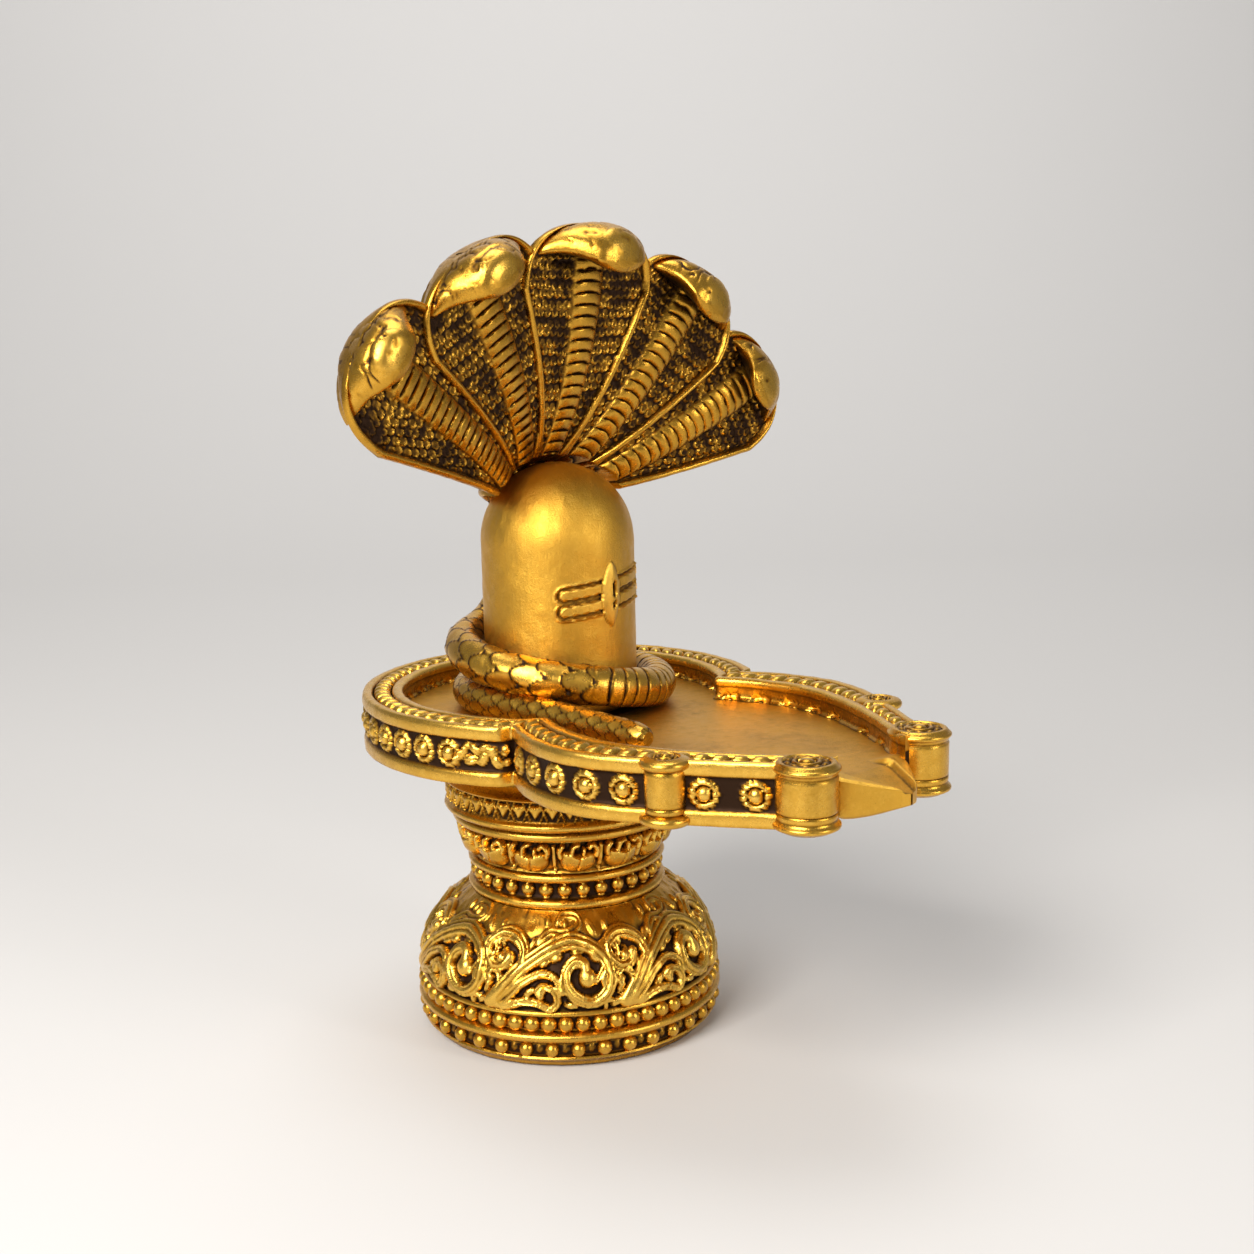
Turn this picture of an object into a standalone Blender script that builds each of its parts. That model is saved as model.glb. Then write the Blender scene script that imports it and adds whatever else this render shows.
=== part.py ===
"""Shiva lingam: a tabletop sculpture of four cast pieces, in metres, +Z up.

The origin is the centre of the pedestal's underside. The spout of the tray and
the hoods of the serpent face -Y.
"""
import math

import bmesh
import bpy
from mathutils import Matrix, Vector

MM = 0.001
GAP = 0.3 * MM

# Pedestal: heights are above the ground, radii from the turning axis
BASE_RADIUS = 27.1 * MM
BAND_RADIUS = 28.5 * MM
RIDGE_RADIUS = 29.6 * MM
LOW_BEAD_COUNT = 37
LOW_BEAD_Z = 3.6 * MM
HIGH_BEAD_COUNT = 57
HIGH_BEAD_Z = 8.7 * MM
BEAD_HALF = 1.2 * MM
BEAD_RISE = 1.3 * MM
RIDGE_Z = 6.2 * MM
BELL_RADIUS = 28.3 * MM
BELL_TOP_RADIUS = 18.7 * MM
BELL_START_Z = 10.9 * MM
BELL_TOP_Z = 26.6 * MM
BELL_POWER = 2.2
NECK_RADIUS = 17.5 * MM
NECK_RING_RADIUS = 18.9 * MM
NECK_RING_HALF = 0.9 * MM
LOW_RING_Z = 27.5 * MM
HIGH_RING_Z = 32.4 * MM
DROP_BEAD_COUNT = 28
LOTUS_BUD_COUNT = 14
LOTUS_TOP_RADIUS = 19.6 * MM
LOTUS_RISE = 0.8 * MM
LOTUS_BASE_Z = 33.6 * MM
LOTUS_TOP_Z = 40.2 * MM
STEP_RADIUS = 21.7 * MM
STEP_Z = 40.8 * MM
COLLAR_RADIUS = 23.0 * MM
COLLAR_Z = 42.7 * MM
COLLAR_TOP_Z = 48.4 * MM
COLLAR_PETAL_COUNT = 45
PETAL_DEPTH = 0.7 * MM
SEAT_RADIUS = 20.6 * MM
SCROLL_COUNT = 7
SCROLL_TURN = math.radians(-125.1)
SCROLL_Z = 17.1 * MM
RIDGE_HALF = 1.0 * MM
RIDGE_RISE = 0.9 * MM
RIDGE_SINK = 1.5 * MM
BIG_SCROLL = 5.6 * MM
SMALL_SCROLL = 4.7 * MM

# Tray
TRAY_BOTTOM_Z = 55.4 * MM
TRAY_THICKNESS = 10.5 * MM
BASIN_DEPTH = 4.2 * MM
ROUND_RADIUS = 37.6 * MM
BASIN_RADIUS = 30.0 * MM
WAIST_ALONG = 20.4 * MM
WAIST_HALF = 29.2 * MM
WAIST_INNER_HALF = 20.8 * MM
LOBE_ALONG = 37.6 * MM
LOBE_HALF = 34.6 * MM
LOBE_INNER_HALF = 25.2 * MM
POST_ALONG = 54.7 * MM
POST_HALF = 26.9 * MM
POST_RADIUS = 3.3 * MM
POST_CAP = 0.55 * MM
END_ALONG = 72.8 * MM
END_HALF = 14.3 * MM
END_RADIUS = 5.0 * MM
POST_DROP = 0.2 * MM
POST_PROUD = 0.5 * MM
MOUTH_HALF = 8.6 * MM
TONGUE_LENGTH = 9.2 * MM
TONGUE_TIP_HALF = 1.9 * MM
TONGUE_DROP = 2.0 * MM
TONGUE_TIP_THICK = 2.8 * MM
TONGUE_BANK = 0.9 * MM
TONGUE_GUTTER_HALF = 4.2 * MM
LIP_ROUND = 0.5 * MM
BAND_LOW = 2.4 * MM
BAND_HIGH = 7.9 * MM
BAND_SHARE = 0.11
CHANNEL_OUTER_SHARE = 0.25
CHANNEL_INNER_SHARE = 0.72
CHANNEL_DEPTH = 0.9 * MM
PILLOW_RISE = 0.35 * MM
PILLOW_PITCH = 3.4 * MM
ROSETTE_RADIUS = 2.6 * MM
ROSETTE_RISE = 0.9 * MM

# Lingam
LINGAM_RADIUS = 14.35 * MM
DOME_CENTRE_Z = 93.1 * MM
MARK_Z = 84.1 * MM
MARK_TILT = math.radians(7.0)
BAR_REACH = math.radians(41.0)
BAR_START = math.radians(10.0)
BAR_PITCH = 2.9 * MM
GROOVE_HALF = 0.62 * MM
GROOVE_DEPTH = 0.6 * MM
EYE_HEIGHT = 11.9 * MM
EYE_WIDTH = 4.3 * MM
EYE_RISE = 1.1 * MM

# Serpent: the body winds from the trunk behind the lingam down to the tail
BODY_RADIUS = 3.5 * MM
LOW_BODY_RADIUS = 2.9 * MM
TAIL_RADIUS = 2.2 * MM
UPPER_COIL_Z = 74.0 * MM
COIL_START = math.radians(122.0)
COIL_END = math.radians(540.0)
COIL_LEVEL = math.radians(300.0)
TAIL_X = -15.7 * MM
TAIL_Y = -39.6 * MM
FAN_Z = 97.3 * MM
FAN_REACH = 11.9 * MM
FAN_BACKSET = 25.7 * MM
FAN_CURL = 19.5 * MM
HOOD_ROOT = 10.0 * MM
TRUNK_SPREAD = 8.05 * MM
RIM_RADIUS = 1.35 * MM
CUP_DEPTH = 2.1 * MM
HOOD_BACK = 3.8 * MM
THROAT_HALF = 3.0 * MM
THROAT_RISE = 1.1 * MM
THROAT_RING_COUNT = 6
SHOULDER = 0.78
HEAD_SINK = 2.4 * MM
HEAD_BACK = 2.6 * MM

# Each hood: lean from upright in degrees, length from the fan's root and half width, then how far its snout
# hangs below the crest and stands in front of the hood; left and right are seen from the front
HOODS = (
    ("far_left", -56.8, 60.4 * MM, 13.2 * MM, 4.4 * MM, 8.0 * MM),
    ("left", -31.0, 55.0 * MM, 14.5 * MM, 4.8 * MM, 9.6 * MM),
    ("middle", 0.8, 52.8 * MM, 15.3 * MM, 6.8 * MM, 10.4 * MM),
    ("right", 33.2, 52.8 * MM, 14.1 * MM, 7.8 * MM, 8.7 * MM),
    ("far_right", 61.0, 54.2 * MM, 12.4 * MM, 9.0 * MM, 7.4 * MM),
)

# Stations of a head from the crest to the snout: share of the way, half width as a share of the hood's, half thickness
HEAD_STATIONS = (
    (0.0, 0.84, 2.0 * MM),
    (0.28, 0.76, 2.7 * MM),
    (0.55, 0.57, 3.3 * MM),
    (0.8, 0.42, 3.3 * MM),
    (0.94, 0.31, 2.6 * MM),
    (1.0, 0.16, 1.4 * MM),
)
HEAD_CORNERS = 10

TURN_STEPS = 28
ARC_POINTS = 11
LOBE_PLACES = (0.0, 0.14, 0.32, 0.54, 0.78, 1.0)
GOLD = (0.72, 0.46, 0.11, 1.0)
SATIN_GOLD = (0.70, 0.44, 0.10, 1.0)


def basin_floor():
    return TRAY_BOTTOM_Z + TRAY_THICKNESS - BASIN_DEPTH


def rim_top():
    return TRAY_BOTTOM_Z + TRAY_THICKNESS


# Scene and mesh helpers
def clear_scene():
    for obj in list(bpy.data.objects):
        bpy.data.objects.remove(obj, do_unlink=True)


def make_collection(name):
    collection = bpy.data.collections.new(name)
    bpy.context.scene.collection.children.link(collection)
    return collection


def make_material(name, colour, roughness):
    material = bpy.data.materials.new(name)
    material.use_nodes = True
    shader = material.node_tree.nodes["Principled BSDF"]
    shader.inputs["Base Color"].default_value = colour
    shader.inputs["Metallic"].default_value = 1.0
    shader.inputs["Roughness"].default_value = roughness
    return material


def bmesh_object(name, shape, collection):
    bmesh.ops.recalc_face_normals(shape, faces=shape.faces)
    mesh = bpy.data.meshes.new(name)
    shape.to_mesh(mesh)
    shape.free()
    obj = bpy.data.objects.new(name, mesh)
    collection.objects.link(obj)
    return obj


def as_cutter(obj):
    obj.hide_render = True
    obj.display_type = "WIRE"


def finish_piece(obj, material):
    obj.data.materials.clear()
    obj.data.materials.append(material)
    obj.data.shade_smooth()
    obj.data.set_sharp_from_angle(angle=math.radians(40.0))


def boolean(target, operand, operation):
    modifier = target.modifiers.new(operation.title(), "BOOLEAN")
    modifier.solver = "EXACT"
    modifier.operation = operation
    if isinstance(operand, bpy.types.Collection):
        modifier.operand_type = "COLLECTION"
        modifier.collection = operand
    else:
        modifier.object = operand
    return modifier


def bridge(shape, ring, after):
    """Joins two closed rings of (place, vertex), whose corner counts may differ, in the order of their places."""
    count, others = len(ring), len(after)
    i = j = 0
    while i < count or j < others:
        next_i = ring[i + 1][0] if i + 1 < count else 1.0 + ring[0][0]
        next_j = after[j + 1][0] if j + 1 < others else 1.0 + after[0][0]
        a, b = ring[i % count][1], after[j % others][1]
        if i < count and (j >= others or next_i <= next_j):
            shape.faces.new((a, ring[(i + 1) % count][1], b))
            i += 1
        else:
            shape.faces.new((a, after[(j + 1) % others][1], b))
            j += 1


def loft(name, rings, collection, places=None):
    """A closed solid through rings of points; places are each ring's corner places from 0 to 1."""
    shape = bmesh.new()
    made = []
    for index, ring in enumerate(rings):
        where = places[index] if places else [i / len(ring) for i in range(len(ring))]
        made.append([(t, shape.verts.new(p)) for t, p in zip(where, ring)])
    for ring, after in zip(made, made[1:]):
        if len(ring) == len(after):
            for i in range(len(ring)):
                k = (i + 1) % len(ring)
                shape.faces.new((ring[i][1], ring[k][1], after[k][1], after[i][1]))
        else:
            bridge(shape, ring, after)
    shape.faces.new([v for _, v in reversed(made[0])])
    shape.faces.new([v for _, v in made[-1]])
    return bmesh_object(name, shape, collection)


def turned(name, profile, steps, collection):
    """A profile of (radius, height) from top to bottom on +X, turned about Z."""
    mesh = bpy.data.meshes.new(name)
    edges = [(i, i + 1) for i in range(len(profile) - 1)]
    mesh.from_pydata([(r, 0.0, z) for r, z in profile], edges, [])
    obj = bpy.data.objects.new(name, mesh)
    collection.objects.link(obj)
    screw = obj.modifiers.new("Screw", "SCREW")
    screw.steps = steps
    screw.render_steps = steps
    screw.use_merge_vertices = True
    screw.merge_threshold = 0.00001
    screw.use_smooth_shade = True
    return obj


def mix(a, b, t):
    return a + (b - a) * t


def smooth_step(t):
    t = min(max(t, 0.0), 1.0)
    return t * t * (3.0 - 2.0 * t)


# Pedestal
def crested_ring(radius, height, corners, crest=0.0):
    """A ring whose every second corner stands out by the crest."""
    points = []
    for i in range(corners):
        angle = 2.0 * math.pi * i / corners
        r = radius + (crest if i % 2 == 0 else 0.0)
        points.append(Vector((r * math.cos(angle), r * math.sin(angle), height)))
    return points


def bell_radius(height):
    t = (height - BELL_START_Z) / (BELL_TOP_Z - BELL_START_Z)
    t = min(max(t, 0.0), 1.0)
    return BELL_TOP_RADIUS + (BELL_RADIUS - BELL_TOP_RADIUS) * (1.0 - t ** BELL_POWER)


def pedestal_rings():
    """Rings from the underside to the seat: plain turned rings, and crested ones for each row of beads."""
    rings = []

    def plain(radius, height):
        rings.append(crested_ring(radius, height, TURN_STEPS))

    def beads(radius, height, count):
        plain(radius, height - BEAD_HALF)
        rings.append(crested_ring(radius, height, 2 * count, BEAD_RISE))
        plain(radius, height + BEAD_HALF)

    def moulding(radius, height, half):
        plain(radius, height - half)
        plain(radius, height + half)

    plain(BASE_RADIUS, 0.0)
    beads(BAND_RADIUS, LOW_BEAD_Z, LOW_BEAD_COUNT)
    moulding(RIDGE_RADIUS, RIDGE_Z, 0.4 * BEAD_HALF)
    beads(BAND_RADIUS, HIGH_BEAD_Z, HIGH_BEAD_COUNT)
    steps = 4
    for i in range(steps + 1):
        height = mix(BELL_START_Z, BELL_TOP_Z - 0.3 * MM, math.sin(0.5 * math.pi * i / steps))
        plain(bell_radius(height), height)
    moulding(NECK_RING_RADIUS, LOW_RING_Z, 0.8 * NECK_RING_HALF)
    drop_z = 0.5 * (LOW_RING_Z + HIGH_RING_Z)
    rings.append(crested_ring(NECK_RADIUS - 0.2 * BEAD_RISE, drop_z, 2 * DROP_BEAD_COUNT, BEAD_RISE))
    moulding(NECK_RING_RADIUS, HIGH_RING_Z, 0.8 * NECK_RING_HALF)
    for share, flare, rise in ((0.0, 0.0, 0.0), (0.3, 0.4, 1.0), (0.75, 0.9, 0.8), (1.0, 1.0, 0.0)):
        radius = mix(NECK_RADIUS, LOTUS_TOP_RADIUS, flare)
        height = mix(LOTUS_BASE_Z, LOTUS_TOP_Z, share)
        corners = 2 * LOTUS_BUD_COUNT if rise else TURN_STEPS
        rings.append(crested_ring(radius, height, corners, rise * LOTUS_RISE))
    plain(STEP_RADIUS, STEP_Z)
    plain(STEP_RADIUS, COLLAR_Z - GAP)
    plain(COLLAR_RADIUS, COLLAR_Z)
    plain(COLLAR_RADIUS, mix(COLLAR_Z, COLLAR_TOP_Z, 0.35))
    petal_radius = COLLAR_RADIUS - PETAL_DEPTH
    petal_z = mix(COLLAR_Z, COLLAR_TOP_Z, 0.65)
    rings.append(crested_ring(petal_radius, petal_z, 2 * COLLAR_PETAL_COUNT, PETAL_DEPTH))
    plain(COLLAR_RADIUS, COLLAR_TOP_Z)
    plain(SEAT_RADIUS, mix(COLLAR_TOP_Z, TRAY_BOTTOM_Z, 0.3))
    plain(SEAT_RADIUS, TRAY_BOTTOM_Z - GAP)
    return rings


def spiral(centre, start_radius, end_radius, start_angle, turn, power, count):
    points = []
    for i in range(count):
        t = i / (count - 1)
        radius = mix(start_radius, end_radius, t ** power)
        angle = start_angle + turn * t
        points.append((centre[0] + radius * math.cos(angle), centre[1] + radius * math.sin(angle)))
    return points


def scroll_paths():
    """One leafy scroll of the bell, as (distance around, height) paths: its stem and the small scroll beside it."""
    pitch = 2.0 * math.pi * BELL_RADIUS / SCROLL_COUNT
    rise = BELL_TOP_Z - BELL_START_Z
    root = (-0.71 * pitch, BELL_START_Z + 0.076 * rise)
    fork = (-0.48 * pitch, SCROLL_Z + 0.083 * rise)
    crest = (-0.29 * pitch, SCROLL_Z + 0.26 * rise)
    centre = (0.016 * pitch, SCROLL_Z)
    big = spiral(centre, BIG_SCROLL, 0.2 * BIG_SCROLL, math.radians(125.0), math.radians(-395.0), 1.5, 9)
    small_centre = (-0.677 * pitch, SCROLL_Z + 0.242 * rise)
    small = spiral(small_centre, SMALL_SCROLL, 0.3 * SMALL_SCROLL, math.radians(-5.0), math.radians(325.0), 0.8, 6)
    branch = [(fork[0] + 0.3 * RIDGE_HALF, fork[1] - 0.2 * RIDGE_HALF)]
    return [[root, fork, crest] + big, branch + small]


def on_bell(around, height, lift):
    radius = bell_radius(height) + lift
    angle = around / BELL_RADIUS
    return Vector((radius * math.cos(angle), radius * math.sin(angle), height))


def ridge(name, path, turn, collection):
    """A three-sided ridge that follows a path on the bell and slims towards its end."""
    rings = []
    for i, (around, height) in enumerate(path):
        before, after = path[max(i - 1, 0)], path[min(i + 1, len(path) - 1)]
        heading = Vector((after[0] - before[0], after[1] - before[1])).normalized()
        half = RIDGE_HALF * mix(1.0, 0.75, i / len(path))
        side = (-heading.y * half, heading.x * half)
        left = on_bell(around + side[0], height + side[1], -RIDGE_SINK)
        crest = on_bell(around, height, RIDGE_RISE)
        right = on_bell(around - side[0], height - side[1], -RIDGE_SINK)
        rings.append([turn @ left, turn @ crest, turn @ right])
    return loft(name, rings, collection)


def bell_scrolls(collection):
    for index in range(SCROLL_COUNT):
        turn = Matrix.Rotation(2.0 * math.pi * index / SCROLL_COUNT + SCROLL_TURN, 4, "Z")
        for number, path in enumerate(scroll_paths()):
            ridge(f"scroll_{index}_{number}", path, turn, collection)


def make_pedestal(collection, cutters, material):
    pedestal = loft("pedestal", pedestal_rings(), collection)
    relief = bpy.data.collections.new("bell_relief")
    cutters.children.link(relief)
    bell_scrolls(relief)
    for obj in relief.objects:
        as_cutter(obj)
    boolean(pedestal, relief, "UNION")
    finish_piece(pedestal, material)
    return pedestal


# Tray: the plan is drawn as (along, across), with along towards the spout
def lobe_rise(along, waist_half, top_half, far_half, far_along, power):
    if along < LOBE_ALONG:
        t = (LOBE_ALONG - along) / (LOBE_ALONG - WAIST_ALONG)
        return top_half - (top_half - waist_half) * t * t
    t = (along - LOBE_ALONG) / (far_along - LOBE_ALONG)
    return top_half - (top_half - far_half) * t ** power


def outer_half():
    """Half of the outline of the tray's lips, from the middle of the back to the middle of the mouth."""
    points = []
    last = math.radians(58.0)
    for i in range(ARC_POINTS):
        angle = mix(math.pi, last, i / (ARC_POINTS - 1))
        points.append((ROUND_RADIUS * math.cos(angle), ROUND_RADIUS * math.sin(angle)))
    panel_half = POST_HALF + 0.35 * POST_RADIUS
    for t in LOBE_PLACES:
        along = mix(WAIST_ALONG, POST_ALONG, t)
        points.append((along, lobe_rise(along, WAIST_HALF, LOBE_HALF, panel_half, POST_ALONG, 1.8)))
    front = END_ALONG + 0.2 * END_RADIUS
    points.append((front, END_HALF + 0.2 * END_RADIUS))
    points.append((front + 0.1 * END_RADIUS, MOUTH_HALF))
    points.append((front + 0.1 * END_RADIUS, 0.0))
    return points


def inner_half():
    """Half of the outline of the basin, with as many points as the outer one."""
    points = []
    last = math.radians(50.0)
    for i in range(ARC_POINTS):
        angle = mix(math.pi, last, i / (ARC_POINTS - 1))
        points.append((BASIN_RADIUS * math.cos(angle), BASIN_RADIUS * math.sin(angle)))
    front = END_ALONG
    for t in LOBE_PLACES:
        along = mix(WAIST_ALONG - 0.3 * MM, POST_ALONG - 1.5 * MM, t)
        points.append((along, lobe_rise(along, WAIST_INNER_HALF, LOBE_INNER_HALF, MOUTH_HALF, front, 1.6)))
    along = END_ALONG - END_RADIUS
    points.append((along, lobe_rise(along, WAIST_INNER_HALF, LOBE_INNER_HALF, MOUTH_HALF, front, 1.6)))
    points.append((front, MOUTH_HALF))
    points.append((front, 0.0))
    return points


def whole_outline(half):
    """Both sides of a half outline, as one loop that starts at the middle of the back."""
    mirrored = [(along, -across) for along, across in half[1:-1]]
    return half + mirrored[::-1]


def tray_point(plan, height):
    return Vector((plan[1], -plan[0], height))


def blend_plan(outer, inner, share):
    return [(mix(a[0], b[0], share), mix(a[1], b[1], share)) for a, b in zip(outer, inner)]


def loop_places(plan):
    """How far around the loop each corner of the plan stands, from 0 to 1."""
    lengths = []
    for i, point in enumerate(plan):
        after = plan[(i + 1) % len(plan)]
        lengths.append(math.dist(point, after))
    total = sum(lengths)
    places, walked = [], 0.0
    for length in lengths:
        places.append(walked / total)
        walked += length
    return places, total


def plan_at(plan, places, place):
    """The point of the loop at a place from 0 to 1, and the direction of the loop there."""
    for i in range(len(plan)):
        end = places[i + 1] if i + 1 < len(plan) else 1.0
        if place <= end or i == len(plan) - 1:
            t = (place - places[i]) / (end - places[i])
            a, b = plan[i], plan[(i + 1) % len(plan)]
            return (mix(a[0], b[0], t), mix(a[1], b[1], t)), (b[0] - a[0], b[1] - a[1])
    return plan[0], (1.0, 0.0)


def tray_body(collection):
    outer, inner = whole_outline(outer_half()), whole_outline(inner_half())
    middle_share = 0.5 * (CHANNEL_OUTER_SHARE + CHANNEL_INNER_SHARE)
    middle = blend_plan(outer, inner, middle_share)
    places, length = loop_places(middle)
    lip_share = BAND_SHARE * LIP_ROUND / MM
    low, high = TRAY_BOTTOM_Z + BAND_LOW, TRAY_BOTTOM_Z + BAND_HIGH
    rows = [
        (lip_share, TRAY_BOTTOM_Z),
        (0.0, TRAY_BOTTOM_Z + LIP_ROUND),
        (0.0, low - LIP_ROUND),
        (BAND_SHARE, low),
        (BAND_SHARE, high),
        (0.0, high + LIP_ROUND),
        (0.0, rim_top() - LIP_ROUND),
        (lip_share, rim_top()),
        (CHANNEL_OUTER_SHARE, rim_top()),
        (None, rim_top() - CHANNEL_DEPTH),
        (CHANNEL_INNER_SHARE, rim_top()),
        (1.0, rim_top()),
        (1.0, basin_floor()),
    ]
    rings, ring_places = [], []
    for share, height in rows:
        if share is None:
            count = 2 * round(length / PILLOW_PITCH)
            spots = [i / count for i in range(count)]
            ring = []
            for i, spot in enumerate(spots):
                rise = CHANNEL_DEPTH + PILLOW_RISE if i % 2 == 0 else 0.0
                ring.append(tray_point(plan_at(middle, places, spot)[0], height + rise))
            rings.append(ring)
            ring_places.append(spots)
        else:
            rings.append([tray_point(p, height) for p in blend_plan(outer, inner, share)])
            ring_places.append(places)
    return loft("yoni_tray", rings, collection, ring_places)


def rosette_spots():
    """Places and outward directions of the side rosettes on the half from the back to the spout."""
    half = blend_plan(outer_half(), inner_half(), BAND_SHARE)
    lobe_end = ARC_POINTS + len(LOBE_PLACES)
    round_part, lobe_part = half[:ARC_POINTS], half[ARC_POINTS:lobe_end]
    panel_part = half[lobe_end - 1:lobe_end + 1]
    spots = []
    for part, count, margin in ((round_part, 14, 0.0), (lobe_part, 5, 0.08), (panel_part, 2, 0.12)):
        lengths = [math.dist(a, b) for a, b in zip(part, part[1:])]
        for i in range(count):
            share = i / (count - 0.2) if part is round_part else margin + (1.0 - 2.0 * margin) * (i + 0.5) / count
            walk = share * sum(lengths)
            for (a, b), length in zip(zip(part, part[1:]), lengths):
                if walk <= length:
                    t = walk / length
                    spot = (mix(a[0], b[0], t), mix(a[1], b[1], t))
                    out = Vector((b[1] - a[1], -(b[0] - a[0]))).normalized()
                    spots.append((spot, (-out.x, -out.y)))
                    break
                walk -= length
    return spots


def rosettes(collection):
    middle_z = TRAY_BOTTOM_Z + 0.5 * (BAND_LOW + BAND_HIGH)
    sink = 0.25 * MM
    shape = bmesh.new()
    for (along, across), (out_along, out_across) in rosette_spots():
        for side in (1.0, -1.0):
            if side < 0.0 and abs(across) < ROSETTE_RADIUS:
                continue
            outward = Vector((side * out_across, -out_along, 0.0))
            foot = Vector((side * across, -along, middle_z))
            face = outward.to_track_quat("Z", "Y").to_matrix().to_4x4()
            centre = foot + outward * 0.5 * (ROSETTE_RISE - sink)
            bmesh.ops.create_cone(
                shape, cap_ends=True, segments=6, radius1=ROSETTE_RADIUS, radius2=0.0,
                depth=ROSETTE_RISE + sink, matrix=Matrix.Translation(centre) @ face,
            )
    return bmesh_object("rosettes", shape, collection)


def post(name, spot, radius, cap, collection):
    """A turned post with a rounded cap and a rounded foot, standing through the tray's edge."""
    top, bottom = rim_top() + POST_PROUD, TRAY_BOTTOM_Z - POST_DROP
    profile = [
        (0.0, top),
        (radius, top),
        (radius + cap, top - cap),
        (radius + cap, top - 3.0 * cap),
        (radius, top - 4.0 * cap),
        (radius, bottom + 4.0 * cap),
        (radius + cap, bottom + 3.0 * cap),
        (radius + cap, bottom + cap),
        (radius - cap, bottom),
        (0.0, bottom),
    ]
    obj = turned(name, profile, 10, collection)
    obj.location = tray_point(spot, 0.0)
    obj.rotation_euler.z = math.radians(8.0)
    return obj


def tongue_ring(along, half, gutter_z, bottom, gutter_half):
    """A section across the spout: a flat gutter between low banks."""
    crest = gutter_z + TONGUE_BANK
    flat = [
        (half * 0.8, bottom),
        (half, bottom + 0.3 * (crest - bottom)),
        (half, crest - 0.5 * TONGUE_BANK),
        (gutter_half + 0.5 * TONGUE_BANK, crest),
        (gutter_half, gutter_z),
    ]
    left = [(-across, height) for across, height in flat[::-1]]
    return [tray_point((along, across), height) for across, height in flat + left]


def spout_tongue(collection):
    root, front = END_ALONG - 0.5 * END_RADIUS, END_ALONG + 0.4 * END_RADIUS
    tip = END_ALONG + TONGUE_LENGTH
    floor = basin_floor() + 0.03 * MM
    rings = []
    for along, t in ((root, 0.0), (front, 0.0), (mix(front, tip, 0.45), 0.45), (mix(front, tip, 0.9), 0.9), (tip, 1.0)):
        half = mix(MOUTH_HALF - 0.2 * MM, TONGUE_TIP_HALF, t ** 1.2)
        half -= 0.35 * TONGUE_TIP_HALF if t == 1.0 else 0.0
        gutter_z = floor - TONGUE_DROP * t
        bottom = mix(TRAY_BOTTOM_Z + 0.1 * MM, gutter_z + TONGUE_BANK - TONGUE_TIP_THICK, t ** 2)
        gutter = mix(TONGUE_GUTTER_HALF, 0.35 * TONGUE_TIP_HALF, t)
        rings.append(tongue_ring(along, half, gutter_z, bottom, gutter))
    return loft("spout_tongue", rings, collection)


def box(name, low, high, collection):
    shape = bmesh.new()
    bmesh.ops.create_cube(shape, size=1.0)
    obj = bmesh_object(name, shape, collection)
    size = Vector(high) - Vector(low)
    obj.data.transform(Matrix.Diagonal((*size, 1.0)))
    obj.location = 0.5 * (Vector(low) + Vector(high))
    return obj


def make_tray(collection, cutters, material):
    tray = tray_body(collection)
    mouth = box(
        "mouth", (-MOUTH_HALF, -(END_ALONG + END_RADIUS), basin_floor() - 0.02 * MM),
        (MOUTH_HALF, -(END_ALONG - 0.6 * END_RADIUS), rim_top() + END_RADIUS), cutters,
    )
    as_cutter(mouth)
    boolean(tray, mouth, "DIFFERENCE")
    added = bpy.data.collections.new("tray_parts")
    cutters.children.link(added)
    spout_tongue(added)
    rosettes(added)
    for side in (1.0, -1.0):
        post("small_post", (POST_ALONG, side * POST_HALF), POST_RADIUS, POST_CAP, added)
        post("end_post", (END_ALONG, side * END_HALF), END_RADIUS - 0.5 * POST_CAP, 0.5 * POST_CAP, added)
    for obj in added.objects:
        as_cutter(obj)
    boolean(tray, added, "UNION")
    finish_piece(tray, material)
    return tray


# Lingam
def lingam_profile():
    base = basin_floor() + GAP
    profile = []
    arc = 6
    for i in range(arc):
        angle = 0.5 * math.pi * (1.0 - i / (arc - 1))
        profile.append((LINGAM_RADIUS * math.cos(angle), DOME_CENTRE_Z + LINGAM_RADIUS * math.sin(angle)))
    profile[0] = (0.0, DOME_CENTRE_Z + LINGAM_RADIUS)
    profile.append((LINGAM_RADIUS, base))
    profile.append((0.0, base))
    return profile


def on_lingam(angle, height, radius):
    """A point around the lingam, where angle 0 faces the spout and the mark rises to the viewer's right."""
    lift = math.tan(MARK_TILT) * LINGAM_RADIUS * angle
    return Vector((radius * math.sin(angle), -radius * math.cos(angle), MARK_Z + height + lift))


def groove(name, side, height, collection):
    rings = []
    for i in range(4):
        angle = side * mix(BAR_START, BAR_REACH, i / 3)
        inner, outer = LINGAM_RADIUS - GROOVE_DEPTH, LINGAM_RADIUS + GROOVE_DEPTH
        low, high = height - GROOVE_HALF, height + GROOVE_HALF
        corners = ((low, inner), (low, outer), (high, outer), (high, inner))
        rings.append([on_lingam(angle, h, r) for h, r in corners])
    return loft(name, rings, collection)


def make_lingam(collection, cutters, material):
    lingam = turned("lingam", lingam_profile(), 30, collection)
    grooves = bpy.data.collections.new("mark_grooves")
    cutters.children.link(grooves)
    for side in (1.0, -1.0):
        for row in (-1.0, 0.0, 1.0):
            as_cutter(groove("groove", side, row * BAR_PITCH, grooves))
    boolean(lingam, grooves, "DIFFERENCE")
    shape = bmesh.new()
    eye = Matrix.Translation(on_lingam(0.0, 0.0, LINGAM_RADIUS - 0.2 * MM))
    bmesh.ops.create_uvsphere(shape, u_segments=8, v_segments=6, radius=1.0, matrix=Matrix.Identity(4))
    shape.transform(eye @ Matrix.Diagonal((0.5 * EYE_WIDTH, EYE_RISE, 0.5 * EYE_HEIGHT, 1.0)))
    raised = bmesh_object("eye", shape, cutters)
    as_cutter(raised)
    boolean(lingam, raised, "UNION")
    finish_piece(lingam, material)
    return lingam


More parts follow.
